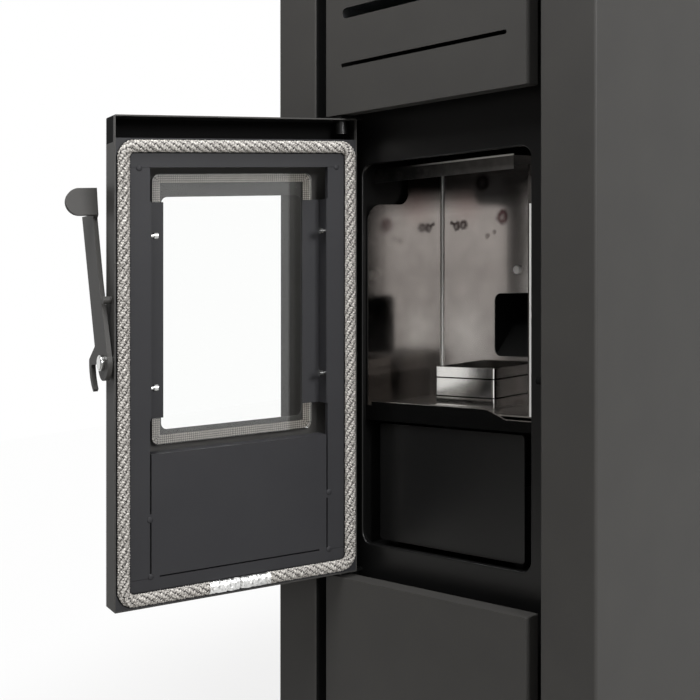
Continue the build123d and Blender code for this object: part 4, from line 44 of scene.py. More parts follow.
CAMERA_LENS = 62.0
SENSOR = 36.0
HORIZON_SHIFT = -0.1251
LEAN = 0.0433
NEAREST = 0.05

lens = bpy.data.cameras.new("studio_camera")
lens.sensor_width = SENSOR
lens.lens = CAMERA_LENS
lens.shift_y = HORIZON_SHIFT
lens.clip_start = NEAREST
camera = bpy.data.objects.new("studio_camera", lens)
bpy.context.scene.collection.objects.link(camera)
bpy.context.scene.camera = camera
level = Matrix.Rotation(CAMERA_TURN, 4, "Z") @ Matrix.Rotation(math.pi / 2, 4, "X")
skew = Matrix.Identity(4)
skew[1][0] = -LEAN
stand = bpy.data.objects.new("camera_stand", None)
bpy.context.scene.collection.objects.link(stand)
camera.parent = stand
camera.matrix_parent_inverse = Matrix.Translation(CAMERA_SPOT) @ level @ skew


# Studio: soft boxes to the right, in front, overhead and behind, in a dim room. The camera and the
# glass see white all round, and metal sees it where a photographer's backdrop would stand.
WHITE = "#ffffff"
ROOM = "#4c4a49"
BACKDROP_START = -0.62
BACKDROP_END = -0.08
# Each soft box: its name, its place and aim in metres, its side in metres and its power in watts
SOFT_BOXES = (
    ("soft_box_right", (3.0, -0.75, 1.8), (0.1, 0.0, 0.5), 1.2, 88),
    ("soft_box_camera", (1.75, -2.45, 0.6), (0.0, -0.1, 0.55), 1.6, 6.5),
    ("soft_box_top", (0.1, -1.05, 2.05), (0.0, -0.24, 1.0), 0.9, 33),
    ("soft_box_back", (-2.3, 2.5, 1.7), (0.0, 0.0, 0.5), 1.4, 60),
)


def put(tree, kind, sockets=None, **settings):
    """Adds one node with its settings. A socket gets a value, or the output of another node."""
    node = tree.nodes.new(kind)
    for name, value in settings.items():
        setattr(node, name, value)
    for name, value in (sockets or {}).items():
        if isinstance(value, bpy.types.NodeSocket):
            tree.links.new(value, node.inputs[name])
        else:
            node.inputs[name].default_value = value
    return node


def rgb(code):
    """The linear colour of an sRGB hex value."""
    parts = [int(code[i:i + 2], 16) / 255 for i in (1, 3, 5)]
    return [p / 12.92 if p <= 0.04045 else ((p + 0.055) / 1.055) ** 2.4 for p in parts] + [1.0]


world = bpy.data.worlds.new("studio")
bpy.context.scene.world = world
world.use_nodes = True
tree = world.node_tree
tree.nodes.clear()
ray = put(tree, "ShaderNodeLightPath")
place = put(tree, "ShaderNodeTexCoord")
split = put(tree, "ShaderNodeSeparateXYZ", {"Vector": place.outputs["Generated"]})
behind = put(tree, "ShaderNodeMapRange",
             {"Value": split.outputs["Y"], "From Min": BACKDROP_START, "From Max": BACKDROP_END})
mirrored = put(tree, "ShaderNodeMath", {0: ray.outputs["Is Glossy Ray"], 1: behind.outputs[0]},
               operation="MULTIPLY")
clear = put(tree, "ShaderNodeMath",
            {0: ray.outputs["Is Camera Ray"], 1: ray.outputs["Is Transmission Ray"]}, operation="MAXIMUM")
seen = put(tree, "ShaderNodeMath", {0: mirrored.outputs[0], 1: clear.outputs[0]}, operation="MAXIMUM")
sky = put(tree, "ShaderNodeMix", {"Factor": seen.outputs[0], "A": rgb(ROOM), "B": rgb(WHITE)},
          data_type="RGBA")
glow = put(tree, "ShaderNodeBackground", {"Color": sky.outputs["Result"], "Strength": 1.0})
put(tree, "ShaderNodeOutputWorld", {"Surface": glow.outputs[0]})

for name, spot, aim, size, power in SOFT_BOXES:
    lamp = bpy.data.lights.new(name, "AREA")
    lamp.shape = "SQUARE"
    lamp.size = size
    lamp.energy = power
    box = bpy.data.objects.new(name, lamp)
    box.location = spot
    box.visible_camera = False
    box.rotation_euler = (Vector(aim) - Vector(spot)).to_track_quat("-Z", "Y").to_euler()
    bpy.context.scene.collection.objects.link(box)


# Floor: matt studio paper, pale grey under the stove. Rays from the camera and from gloss see it
# washed out towards white, least near the stove, so that its shadow stays.
FLOOR_PAINT = "#9d9b97"
FLOOR_HALF = 3.0
NEAR_WASH = 0.84
FAR_WASH = 0.985
NEAR_REACH = 0.4
FAR_REACH = 0.85
WASH_START = -0.9
WASH_END = -0.3
PAPER_GRAIN = 0.3
PAPER_RELIEF = 0.1
MM = 0.001


def per_mm(size):
    """The scale of a pattern whose grains are this many millimetres apart."""
    return 1 / (size * MM)


floor_mesh = bpy.data.meshes.new("studio_floor")
corners = [(x * FLOOR_HALF, y * FLOOR_HALF, 0) for x, y in ((-1, -1), (1, -1), (1, 1), (-1, 1))]
floor_mesh.from_pydata(corners, [], [(0, 1, 2, 3)])
floor = bpy.data.objects.new("studio_floor", floor_mesh)
bpy.context.scene.collection.objects.link(floor)
paper = bpy.data.materials.new("studio_paper")
paper.use_nodes = True
tree = paper.node_tree
tree.nodes.clear()
ray = put(tree, "ShaderNodeLightPath")
where = put(tree, "ShaderNodeNewGeometry")
split = put(tree, "ShaderNodeSeparateXYZ", {"Vector": where.outputs["Position"]})
beyond = put(tree, "ShaderNodeMapRange",
             {"Value": split.outputs["Y"], "From Min": WASH_START, "From Max": WASH_END})
mirrored = put(tree, "ShaderNodeMath", {0: ray.outputs["Is Glossy Ray"], 1: beyond.outputs[0]},
               operation="MULTIPLY")
direct = put(tree, "ShaderNodeMath", {0: ray.outputs["Is Camera Ray"], 1: mirrored.outputs[0]},
             operation="MAXIMUM")
washed = put(tree, "ShaderNodeMath", {0: direct.outputs[0], 1: ray.outputs["Is Transmission Ray"]},
             operation="MAXIMUM")
reach = put(tree, "ShaderNodeVectorMath", {0: where.outputs["Position"]}, operation="LENGTH")
level_wash = put(tree, "ShaderNodeMapRange",
                 {"Value": reach.outputs["Value"], "From Min": NEAR_REACH, "From Max": FAR_REACH,
                  "To Min": NEAR_WASH, "To Max": FAR_WASH}, interpolation_type="SMOOTHSTEP")
share = put(tree, "ShaderNodeMath", {0: washed.outputs[0], 1: level_wash.outputs[0]}, operation="MULTIPLY")
fibres = put(tree, "ShaderNodeTexNoise", {"Scale": per_mm(PAPER_GRAIN), "Detail": 2.0})
sheet = put(tree, "ShaderNodeBump", {"Height": fibres.outputs["Fac"], "Strength": PAPER_RELIEF})
matt = put(tree, "ShaderNodeBsdfDiffuse", {"Color": rgb(FLOOR_PAINT), "Normal": sheet.outputs[0]})
light = put(tree, "ShaderNodeEmission", {"Color": rgb(WHITE), "Strength": 1.0})
both = put(tree, "ShaderNodeMixShader", {0: share.outputs[0], 1: matt.outputs[0], 2: light.outputs[0]})
put(tree, "ShaderNodeOutputMaterial", {"Surface": both.outputs[0]})
floor_mesh.materials.append(paper)


# Casing: folded mild-steel sheet, blasted and powder coated. The coat is polyester baked on to an even
# matt anthracite, a little cloudy from close by. Its fine pebbles are drawn 0.9 mm apart, coarser than
# real ones, so that they show.
COAT = "#3c3b3a"
COAT_PALE = "#434240"
COAT_ROUGH = 0.5
COAT_GRAIN = 0.9
COAT_DEPTH = 0.06
COAT_GLOSS = 0.22
CLOUD = 60
PEBBLE_RELIEF = 0.4
ROUGH_SPREAD = 0.05


def new_material(name):
    """A material with its Principled shader, and where it is in metres."""
    made = bpy.data.materials.new(name)
    made.use_nodes = True
    made.node_tree.nodes.clear()
    shader = put(made.node_tree, "ShaderNodeBsdfPrincipled")
    put(made.node_tree, "ShaderNodeOutputMaterial", {"Surface": shader.outputs[0]})
    spot = put(made.node_tree, "ShaderNodeTexCoord")
    return made, made.node_tree, shader, spot.outputs["Object"]


def wire(tree, shader, outputs):
    """Links outputs to the sockets of a shader that they drive."""
    for name, output in outputs.items():
        tree.links.new(output, shader.inputs[name])


def coated(name, dark, pale, rough, grain, depth, gloss=0.5):
    """Paint, powder, rubber or moulded plastic: an even colour with a fine pebbled skin."""
    made, tree, shader, spot = new_material(name)
    shader.inputs["Specular IOR Level"].default_value = gloss
    cloud = put(tree, "ShaderNodeTexNoise", {"Vector": spot, "Scale": per_mm(CLOUD), "Detail": 3.0})
    tone = put(tree, "ShaderNodeMix", {"Factor": cloud.outputs["Fac"], "A": rgb(dark), "B": rgb(pale)},
               data_type="RGBA")
    pebble = put(tree, "ShaderNodeTexNoise", {"Vector": spot, "Scale": per_mm(grain), "Detail": 2.0})
    skin = put(tree, "ShaderNodeBump",
               {"Height": pebble.outputs["Fac"], "Strength": PEBBLE_RELIEF, "Distance": depth * MM})
    wear = put(tree, "ShaderNodeMapRange",
               {"Value": pebble.outputs["Fac"], "To Min": rough - ROUGH_SPREAD,
                "To Max": rough + ROUGH_SPREAD})
    wire(tree, shader, {"Base Color": tone.outputs["Result"], "Normal": skin.outputs[0],
                        "Roughness": wear.outputs[0]})
    return made


def powder_coated(name, dark=COAT, pale=COAT_PALE, rough=COAT_ROUGH):
    """The casing's powder coat, or the same powder in another tone."""
    return coated(name, dark, pale, rough, COAT_GRAIN, COAT_DEPTH, COAT_GLOSS)


def finish(material, *names):
    """Gives CAD nodes this material in each of their slots."""
    for name in names:
        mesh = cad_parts[name].data
        if not mesh.materials:
            mesh.materials.append(material)
        for i in range(len(mesh.materials)):
            mesh.materials[i] = material


powder_coat = powder_coated("powder_coat_anthracite")
finish(powder_coat, "base_plinth", "rear_panel", "top_plate", "upper_front_panel", "lower_front_panel")


# Side sheets: folded from one blank each with the front pillar, and powder coated. Inside, behind the
# pillars, the coat is drawn black and chalky.
INSIDE_BLACK = "#050505"
INSIDE_ACROSS = 223.8
INSIDE_BEHIND = -239.0


def every(tree, first, *others):
    """The share of a place that lies in all of these at once."""
    for other in others:
        first = put(tree, "ShaderNodeMath", {0: first.outputs[0], 1: other.outputs[0]},
                    operation="MULTIPLY")
    return first


def layered(tree, colour, layers):
    """Lays tints over a colour one after another, each where its share says."""
    for share, tint in layers:
        mixed = put(tree, "ShaderNodeMix", {"Factor": share.outputs[0], "A": colour, "B": rgb(tint)},
                    data_type="RGBA")
        colour = mixed.outputs["Result"]
    return colour


def nodes_of(material):
    """A made material's tree and shader, where it is, and the colour it has so far."""
    tree = material.node_tree
    shader = next(n for n in tree.nodes if n.type == "BSDF_PRINCIPLED")
    spot = next(n for n in tree.nodes if n.type == "TEX_COORD").outputs["Object"]
    return tree, shader, spot, shader.inputs["Base Color"].links[0].from_socket


def blackened(material, share, black):
    """Leaves a coat black and chalky where the share is 1."""
    tree, shader, _, tone = nodes_of(material)
    wear = shader.inputs["Roughness"].links[0].from_socket
    chalky = put(tree, "ShaderNodeMath", {0: wear, 1: share.outputs[0]}, operation="MAXIMUM")
    colour = layered(tree, tone, [(share, black)])
    wire(tree, shader, {"Base Color": colour, "Roughness": chalky.outputs[0]})


side_coat = powder_coated("powder_coat_black_behind_pillars")
tree, shader, spot, tone = nodes_of(side_coat)
where = put(tree, "ShaderNodeSeparateXYZ", {"Vector": spot})
across = put(tree, "ShaderNodeMath", {0: where.outputs["X"]}, operation="ABSOLUTE")
within = put(tree, "ShaderNodeMath", {0: across.outputs[0], 1: INSIDE_ACROSS * MM}, operation="LESS_THAN")
beyond = put(tree, "ShaderNodeMath", {0: where.outputs["Y"], 1: INSIDE_BEHIND * MM},
             operation="GREATER_THAN")
# The inside of each side sheet behind its pillar is drawn black and chalky.
blackened(side_coat, every(tree, within, beyond), INSIDE_BLACK)
finish(side_coat, "right_side_panel", "left_side_panel")


# Feet, screws, pins, the lever's stud and the auger's flight: turned or pressed steel, zinc plated.
# The plating is bright and smooth, with a faint milky bloom over grain too fine to see from here.
ZINC = "#b4b5b4"
ZINC_PALE = "#dededc"
ZINC_ROUGH = 0.2
ZINC_GRAIN = 0.4
METAL_BLOOM = 18
METAL_SPREAD = 0.06
METAL_RELIEF = 0.25
METAL_DEPTH = 0.02


def bare_metal(name, dark, pale, rough, grain, stretch=(1, 1, 1)):
    """Bare or plated metal: a tone that drifts with its bloom, and grain drawn out along the rolling."""
    made, tree, shader, spot = new_material(name)
    shader.inputs["Metallic"].default_value = 1.0
    run = put(tree, "ShaderNodeMapping", {"Vector": spot, "Scale": stretch})
    lines = put(tree, "ShaderNodeTexNoise",
                {"Vector": run.outputs[0], "Scale": per_mm(grain), "Detail": 3.0})
    bloom = put(tree, "ShaderNodeTexNoise", {"Vector": spot, "Scale": per_mm(METAL_BLOOM), "Detail": 4.0})
    tone = put(tree, "ShaderNodeMix", {"Factor": bloom.outputs["Fac"], "A": rgb(dark), "B": rgb(pale)},
               data_type="RGBA")
    dull = put(tree, "ShaderNodeMapRange",
               {"Value": bloom.outputs["Fac"], "To Min": rough - METAL_SPREAD,
                "To Max": rough + METAL_SPREAD})
    skin = put(tree, "ShaderNodeBump",
               {"Height": lines.outputs["Fac"], "Strength": METAL_RELIEF, "Distance": METAL_DEPTH * MM})
    wire(tree, shader, {"Base Color": tone.outputs["Result"], "Roughness": dull.outputs[0],
                        "Normal": skin.outputs[0]})
    return made


zinc = bare_metal("zinc_plated_steel", ZINC, ZINC_PALE, ZINC_ROUGH, ZINC_GRAIN)
finish(zinc, "levelling_feet", "rear_screws", "clip_screws", "lid_hinge_pins", "handle_pivot",
       "auger_screw")


# Pan, ducts, hopper and fan housings: hot-dip galvanised sheet, folded and spot welded. The zinc
# froze in pale grey spangles, softly shiny.
SPANGLE_DARK = "#8d9092"
SPANGLE_PALE = "#bcbfc0"
SPANGLE_ROUGH = 0.38
SPANGLE = 6

galvanised = bare_metal("galvanised_sheet", SPANGLE_DARK, SPANGLE_PALE, SPANGLE_ROUGH, SPANGLE)
finish(galvanised, "base_pan", "smoke_duct", "hopper", "auger_tube", "blower_housing",
       "exhaust_fan_housing", "flue_spigot", "air_intake_pipe", "warm_air_duct")


# Inner front wall, fire box, chute, drawer and door hinges: pressed sheet in heat-proof silicone
# paint. It is near black and satin, so broad soft glints run down it.
STOVE_BLACK = "#0c0c0c"
STOVE_BLACK_PALE = "#131313"
STOVE_ROUGH = 0.33
STOVE_GRAIN = 1.1
STOVE_DEPTH = 0.03

stove_paint = coated("stove_paint_black", STOVE_BLACK, STOVE_BLACK_PALE, STOVE_ROUGH, STOVE_GRAIN,
                     STOVE_DEPTH)
finish(stove_paint, "face_plate", "firebox_shell", "ash_drawer", "door_hinges", "hinge_bushes",
       "pellet_chute")


# Rear liner: bright-rolled stainless sheet that fires have dulled. Sparks and tar left dark rings and smudges
# on it, and the top is smoked. A pale, ragged patch above the pot is a painted highlight. The fine scratches
# are drawn coarser than real ones, so that they show.
LINER_DARK = "#bab5b3"
LINER_PALE = "#dfdad7"
LINER_CLOUD = 38
LINER_METAL = 0.8
LINER_ROUGH = (0.1, 0.2)
LINER_SMOKE = "#4f4a48"
SMOKE_START = 630
SMOKE_END = 650
SMOKE_SHARE = 0.75
PAINTED_GLARE = "#f4f1ee"
GLARE_SPOT = (-79.0, 478.0)
GLARE_RADIUS = 27
GLARE_SOFT = 0.75
GLARE_WANDER = (22, 30)
TAR = "#2a1a1b"
TAR_RED = "#4a1f28"
SPLASH = "#8d8582"
# Each stain: its place across and its height, its radius, and its colour
STAINS = (
    (-94.8, 614.3, 5.6, TAR), (-83.6, 615.0, 5.8, TAR), (-103.5, 618.6, 2.6, TAR), (-99.8, 617.4, 1.8, TAR),
    (-23.4, 621.8, 8.6, TAR_RED), (-54.1, 665.0, 10.0, TAR), (-47.0, 600.0, 3.5, SPLASH),
    (-36.0, 604.0, 3.0, SPLASH),
)
STAIN_SOFT = 0.3
STAIN_WANDER = (5, 5)
STAIN_SHARE = 0.9
HEART_ASIDE = 0.8
HEART_SIZE = 0.45
HEART_SOFT = 0.5
HEART_FADE = -0.35
BRUSH_DRAWN = 0.03
LINER_BRUSH = (0.9, 0.3, 0.02)


def near(tree, spot, x, z, radius, soft, warp):
    """How much a place lies within a spot on an upright sheet: 1 at its middle, 0 past its edge."""
    flat = put(tree, "ShaderNodeMapping",
               {"Vector": spot, "Location": (-x * MM, 0, -z * MM), "Scale": (1, 0, 1)})
    jog = put(tree, "ShaderNodeVectorMath", {0: flat.outputs[0], 1: warp}, operation="ADD")
    away = put(tree, "ShaderNodeVectorMath", {0: jog.outputs[0]}, operation="LENGTH")
    return put(tree, "ShaderNodeMapRange",
               {"Value": away.outputs["Value"], "From Min": radius * (1 - soft) * MM,
                "From Max": radius * (1 + soft) * MM, "To Min": 1.0, "To Max": 0.0})


def wobble(tree, spot, grain, reach):
    """A small wandering shift, in metres, that keeps the edges of stains and of the painted highlight from
    being round.
    """
    drift = put(tree, "ShaderNodeTexNoise", {"Vector": spot, "Scale": per_mm(grain), "Detail": 2.0})
    even = put(tree, "ShaderNodeVectorMath", {0: drift.outputs["Color"], 1: (0.5, 0.5, 0.5)},
               operation="SUBTRACT")
    flat = put(tree, "ShaderNodeVectorMath", {0: even.outputs[0], 1: (reach * MM, 0, reach * MM)},
               operation="MULTIPLY")
    return flat.outputs[0]


def brushed(tree, spot, grain, relief, depth):
    """The normal of fine upright scratches: how far apart they are, how marked and how deep."""
    run = put(tree, "ShaderNodeMapping", {"Vector": spot, "Scale": (1, 1, BRUSH_DRAWN)})
    lines = put(tree, "ShaderNodeTexNoise",
                {"Vector": run.outputs[0], "Scale": per_mm(grain), "Detail": 3.0})
    skin = put(tree, "ShaderNodeBump",
               {"Height": lines.outputs["Fac"], "Strength": relief, "Distance": depth * MM})
    return skin.outputs[0]


rear_steel, tree, shader, spot = new_material("stainless_smoked")
shader.inputs["Metallic"].default_value = LINER_METAL
shift = wobble(tree, spot, *STAIN_WANDER)
cloud = put(tree, "ShaderNodeTexNoise",
            {"Vector": spot, "Scale": per_mm(LINER_CLOUD), "Detail": 5.0, "Roughness": 0.6})
colour = put(tree, "ShaderNodeMix",
             {"Factor": cloud.outputs["Fac"], "A": rgb(LINER_DARK), "B": rgb(LINER_PALE)}, data_type="RGBA")
height = put(tree, "ShaderNodeSeparateXYZ", {"Vector": spot})
rise = put(tree, "ShaderNodeMapRange",
           {"Value": height.outputs["Z"], "From Min": SMOKE_START * MM, "From Max": SMOKE_END * MM,
            "To Max": SMOKE_SHARE})
# Painted highlight: a pale, ragged patch above the pot.
glare = near(tree, spot, *GLARE_SPOT, GLARE_RADIUS, GLARE_SOFT, wobble(tree, spot, *GLARE_WANDER))
layers = [(rise, LINER_SMOKE), (glare, PAINTED_GLARE)]
for x, z, radius, tint in STAINS:
    ring = near(tree, spot, x, z, radius, STAIN_SOFT, shift)
    heart = near(tree, spot, x - HEART_ASIDE, z - HEART_ASIDE, radius * HEART_SIZE, HEART_SOFT, shift)
    hollow = put(tree, "ShaderNodeMath", {0: heart.outputs[0], 1: HEART_FADE, 2: STAIN_SHARE},
                 operation="MULTIPLY_ADD")
    layers.append((every(tree, ring, hollow), tint))
dull = put(tree, "ShaderNodeMapRange",
           {"Value": cloud.outputs["Fac"], "To Min": LINER_ROUGH[0], "To Max": LINER_ROUGH[1]})
wire(tree, shader, {"Base Color": layered(tree, colour.outputs["Result"], layers),
                    "Roughness": dull.outputs[0], "Normal": brushed(tree, spot, *LINER_BRUSH)})
finish(rear_steel, "rear_liner", "liner_strip")


# Side liners: brushed stainless sheet, close to a mirror, with a pink heat tint high up, soot high up, and
# soot at the front foot of the left one, which also grows darker towards the bottom. The right one's inner
# face is drawn dark all over as painted shade, and its front edge is drawn near white and barely metallic as
# a painted highlight. The brushing too is drawn coarser than it is.
MIRROR_DARK = "#b0aca8"
MIRROR_PALE = "#d6d2ce"
MIRROR_CLOUD = 30
MIRROR_ROUGH = (0.07, 0.17)
MIRROR_BRUSH = (0.8, 0.2, 0.01)
HEAT_TINT = "#a98986"
TINT_BEHIND = -110
TINT_HEIGHT = 652
TINT_REACH = 42
TINT_SHARE = 0.55
SOOT_AND_SHADE = "#2b2826"
SOOT_START = 646
SOOT_END = 664
SOOT_SHARE = 0.96
RETURN_FACE = -194.3
FOOT_HEIGHT = 445
FOOT_FADE = 5
FOOT_BEHIND = -84
FORE_FADE = 4
FOOT_SHARE = 0.7
DIM_START = 600
DIM_END = 460
DIM_SHARE = 0.4
EDGE_HIGHLIGHT = "#f7f6f4"
EDGE_HIGHLIGHT_METAL = 0.25
EDGE_TOP = 628
EDGE_START = 114.6

side_steel, tree, shader, spot = new_material("stainless_bright")
cloud = put(tree, "ShaderNodeTexNoise", {"Vector": spot, "Scale": per_mm(MIRROR_CLOUD), "Detail": 4.0})
colour = put(tree, "ShaderNodeMix",
             {"Factor": cloud.outputs["Fac"], "A": rgb(MIRROR_DARK), "B": rgb(MIRROR_PALE)}, data_type="RGBA")
patch = put(tree, "ShaderNodeMapping",
            {"Vector": spot, "Location": (0, -TINT_BEHIND * MM, -TINT_HEIGHT * MM), "Scale": (0, 1, 1)})
away = put(tree, "ShaderNodeVectorMath", {0: patch.outputs[0]}, operation="LENGTH")
tint = put(tree, "ShaderNodeMapRange",
           {"Value": away.outputs["Value"], "From Min": 0.0, "From Max": TINT_REACH * MM,
            "To Min": TINT_SHARE, "To Max": 0.0})
where = put(tree, "ShaderNodeSeparateXYZ", {"Vector": spot})
right = put(tree, "ShaderNodeMath", {0: where.outputs["X"], 1: 0.0}, operation="GREATER_THAN")
left = put(tree, "ShaderNodeMath", {0: where.outputs["X"], 1: 0.0}, operation="LESS_THAN")
inside = put(tree, "ShaderNodeMath", {0: where.outputs["Y"], 1: RETURN_FACE * MM}, operation="GREATER_THAN")
high = put(tree, "ShaderNodeMapRange",
           {"Value": where.outputs["Z"], "From Min": SOOT_START * MM, "From Max": SOOT_END * MM,
            "To Max": SOOT_SHARE})
# Painted shade: the right liner's whole inner face is drawn dark.
shaded = every(tree, right, inside)
soot_and_shade = put(tree, "ShaderNodeMath", {0: shaded.outputs[0], 1: high.outputs[0]}, operation="MAXIMUM")
foot = put(tree, "ShaderNodeMapRange",
           {"Value": where.outputs["Z"], "From Min": FOOT_HEIGHT * MM,
            "From Max": (FOOT_HEIGHT - FOOT_FADE) * MM, "To Max": FOOT_SHARE})
fore = put(tree, "ShaderNodeMapRange",
           {"Value": where.outputs["Y"], "From Min": FOOT_BEHIND * MM,
            "From Max": (FOOT_BEHIND - FORE_FADE) * MM})
# The left liner is drawn darker towards the bottom.
dim = put(tree, "ShaderNodeMapRange",
          {"Value": where.outputs["Z"], "From Min": DIM_START * MM, "From Max": DIM_END * MM,
           "To Max": DIM_SHARE})
foot_soot_and_dim = put(tree, "ShaderNodeMath", {0: every(tree, foot, fore, left).outputs[0],
                                    1: every(tree, dim, left).outputs[0]}, operation="MAXIMUM")
outside = put(tree, "ShaderNodeMath", {0: 1.0, 1: inside.outputs[0]}, operation="SUBTRACT")
# Painted highlight: the right liner's front edge, drawn near white and barely metallic.
brink = put(tree, "ShaderNodeMath", {0: where.outputs["X"], 1: EDGE_START * MM}, operation="GREATER_THAN")
low = put(tree, "ShaderNodeMath", {0: where.outputs["Z"], 1: EDGE_TOP * MM}, operation="LESS_THAN")
edge_highlight = every(tree, outside, brink, low)
layers = [(tint, HEAT_TINT), (soot_and_shade, SOOT_AND_SHADE), (foot_soot_and_dim, SOOT_AND_SHADE), (edge_highlight, EDGE_HIGHLIGHT)]
metal = put(tree, "ShaderNodeMapRange",
            {"Value": edge_highlight.outputs[0], "To Min": 1.0, "To Max": EDGE_HIGHLIGHT_METAL})
dull = put(tree, "ShaderNodeMapRange",
           {"Value": cloud.outputs["Fac"], "To Min": MIRROR_ROUGH[0], "To Max": MIRROR_ROUGH[1]})
wire(tree, shader, {"Base Color": layered(tree, colour.outputs["Result"], layers),
                    "Metallic": metal.outputs[0], "Roughness": dull.outputs[0],
                    "Normal": brushed(tree, spot, *MIRROR_BRUSH)})
finish(side_steel, "left_liner", "right_liner")


# Burn pot: folded from bright-rolled stainless sheet, which the pellets keep bright. Its rolling marks are
# drawn coarser than real ones. A dark line of painted shade runs along each of the two grooves pressed round
# it.
POT_DARK = "#dcd9d5"
POT_PALE = "#f2efec"
POT_ROUGH = 0.12
ROLLED_GRAIN = 0.8
ROLLED_UPRIGHT = (1, 1, 0.05)
POT_GROOVES = (439.5, 418.5)
GROOVE_HALF = 0.75
GROOVE_SHADE = "#2a2725"

pot_steel = bare_metal("stainless_rolled", POT_DARK, POT_PALE, POT_ROUGH, ROLLED_GRAIN, ROLLED_UPRIGHT)
tree, shader, spot, tone = nodes_of(pot_steel)
where = put(tree, "ShaderNodeSeparateXYZ", {"Vector": spot})
layers = []
# Painted shade: a dark line along each groove.
for height in POT_GROOVES:
    groove = put(tree, "ShaderNodeMath", {0: where.outputs["Z"], 1: height * MM, 2: GROOVE_HALF * MM},
                 operation="COMPARE")
    layers.append((groove, GROOVE_SHADE))
wire(tree, shader, {"Base Color": layered(tree, tone, layers)})
finish(pot_steel, "burn_pot")


# Corner hem: the left liner's rear edge is rolled over the rear liner into a thin round hem, which catches
# the light as one bright upright line; its near white, barely metallic colour is a painted highlight. The
# liner's screw has the same painted highlight.
HEM_ACROSS = -116.7
HEM_BEHIND = -64.3
HEM_RADIUS = 1.2
HEM_FOOT = 407.3
HEM_HEAD = 680.5
HEM_SIDES = 20
HEM_STEP = 12
HEM_HIGHLIGHT = "#f4f3f1"
HEM_HIGHLIGHT_PALE = "#fdfdfc"
HEM_ROUGH = 0.35
HEM_METAL = 0.15


def skinned(rows, sides, closed):
    """The faces of a tube whose points come ring by ring, joined up or capped at its ends."""
    faces = []
    for i in range(rows if closed else rows - 1):
        a, b = i * sides, (i + 1) % rows * sides
        for j in range(sides):
            n = (j + 1) % sides
            faces.append((a + j, a + n, b + n, b + j))
    if not closed:
        faces.append(tuple(reversed(range(sides))))
        faces.append(tuple((rows - 1) * sides + j for j in range(sides)))
    return faces


def build(name, points, faces, body, material, smooth=True, marks=None):
    """A mesh piece that rides on a body, with values at its points for its material to read."""
    mesh = bpy.data.meshes.new(name)
    mesh.from_pydata(points, [], faces)
    mesh.polygons.foreach_set("use_smooth", [smooth] * len(mesh.polygons))
    for mark, values in (marks or {}).items():
        mesh.attributes.new(mark, "FLOAT", "POINT").data.foreach_set("value", values)
    mesh.materials.append(material)
    made = bpy.data.objects.new(name, mesh)
    bpy.context.scene.collection.objects.link(made)
    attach(made, body)
    return made


# Painted highlight: near white and barely metallic, on the hem and the liner's screw.
hem_highlight = bare_metal("stainless_painted_highlight", HEM_HIGHLIGHT, HEM_HIGHLIGHT_PALE, HEM_ROUGH, ROLLED_GRAIN, ROLLED_UPRIGHT)
nodes_of(hem_highlight)[1].inputs["Metallic"].default_value = HEM_METAL
finish(hem_highlight, "liner_screw")
points = []
rows = round((HEM_HEAD - HEM_FOOT) / HEM_STEP)
for i in range(rows + 1):
    height = HEM_FOOT + (HEM_HEAD - HEM_FOOT) * i / rows
    for j in range(HEM_SIDES):
        angle = 2 * math.pi * j / HEM_SIDES
        points.append((Vector((HEM_ACROSS + HEM_RADIUS * math.cos(angle),
                               HEM_BEHIND + HEM_RADIUS * math.sin(angle), height)) * MM)[:])
build("liner_corner_hem", points, skinned(rows + 1, HEM_SIDES, False), "stove", hem_highlight)


# Baffle: folded heat-resisting steel, scaled black by the fire underneath and at its left. Its lip is wiped
# to dark grey towards the right, with a painted highlight along the fold: a near white, barely metallic line.
SCALE_BLACK = "#0e0e0e"
SCALE_GREY = "#75726f"
SCALE_LEFT = -60
SCALE_RIGHT = 115
SCALE_METAL = 0.6
SCALE_ROUGH = (0.35, 0.5)
FLAKE_SIZE = 9
FLAKE_SHARE = 0.5
LIP_FACE = -184.3
FOLD_HIGHLIGHT = "#e6e3df"
FOLD_HEIGHT = 681.1
FOLD_RIGHT = 30
FOLD_HIGHLIGHT_METAL = 0.15

baffle, tree, shader, spot = new_material("steel_heat_scaled")
where = put(tree, "ShaderNodeSeparateXYZ", {"Vector": spot})
wiped = put(tree, "ShaderNodeMapRange",
            {"Value": where.outputs["X"], "From Min": SCALE_LEFT * MM, "From Max": SCALE_RIGHT * MM})
flakes = put(tree, "ShaderNodeTexNoise", {"Vector": spot, "Scale": per_mm(FLAKE_SIZE), "Detail": 4.0})
patchy = put(tree, "ShaderNodeMath", {0: flakes.outputs["Fac"], 1: FLAKE_SHARE, 2: wiped.outputs[0]},
             operation="MULTIPLY_ADD")
level = put(tree, "ShaderNodeMath", {0: patchy.outputs[0], 1: FLAKE_SHARE / 2}, operation="SUBTRACT",
            use_clamp=True)
ahead = put(tree, "ShaderNodeMath", {0: where.outputs["Y"], 1: LIP_FACE * MM}, operation="LESS_THAN")
level = every(tree, level, ahead)
colour = put(tree, "ShaderNodeMix",
             {"Factor": level.outputs[0], "A": rgb(SCALE_BLACK), "B": rgb(SCALE_GREY)}, data_type="RGBA")
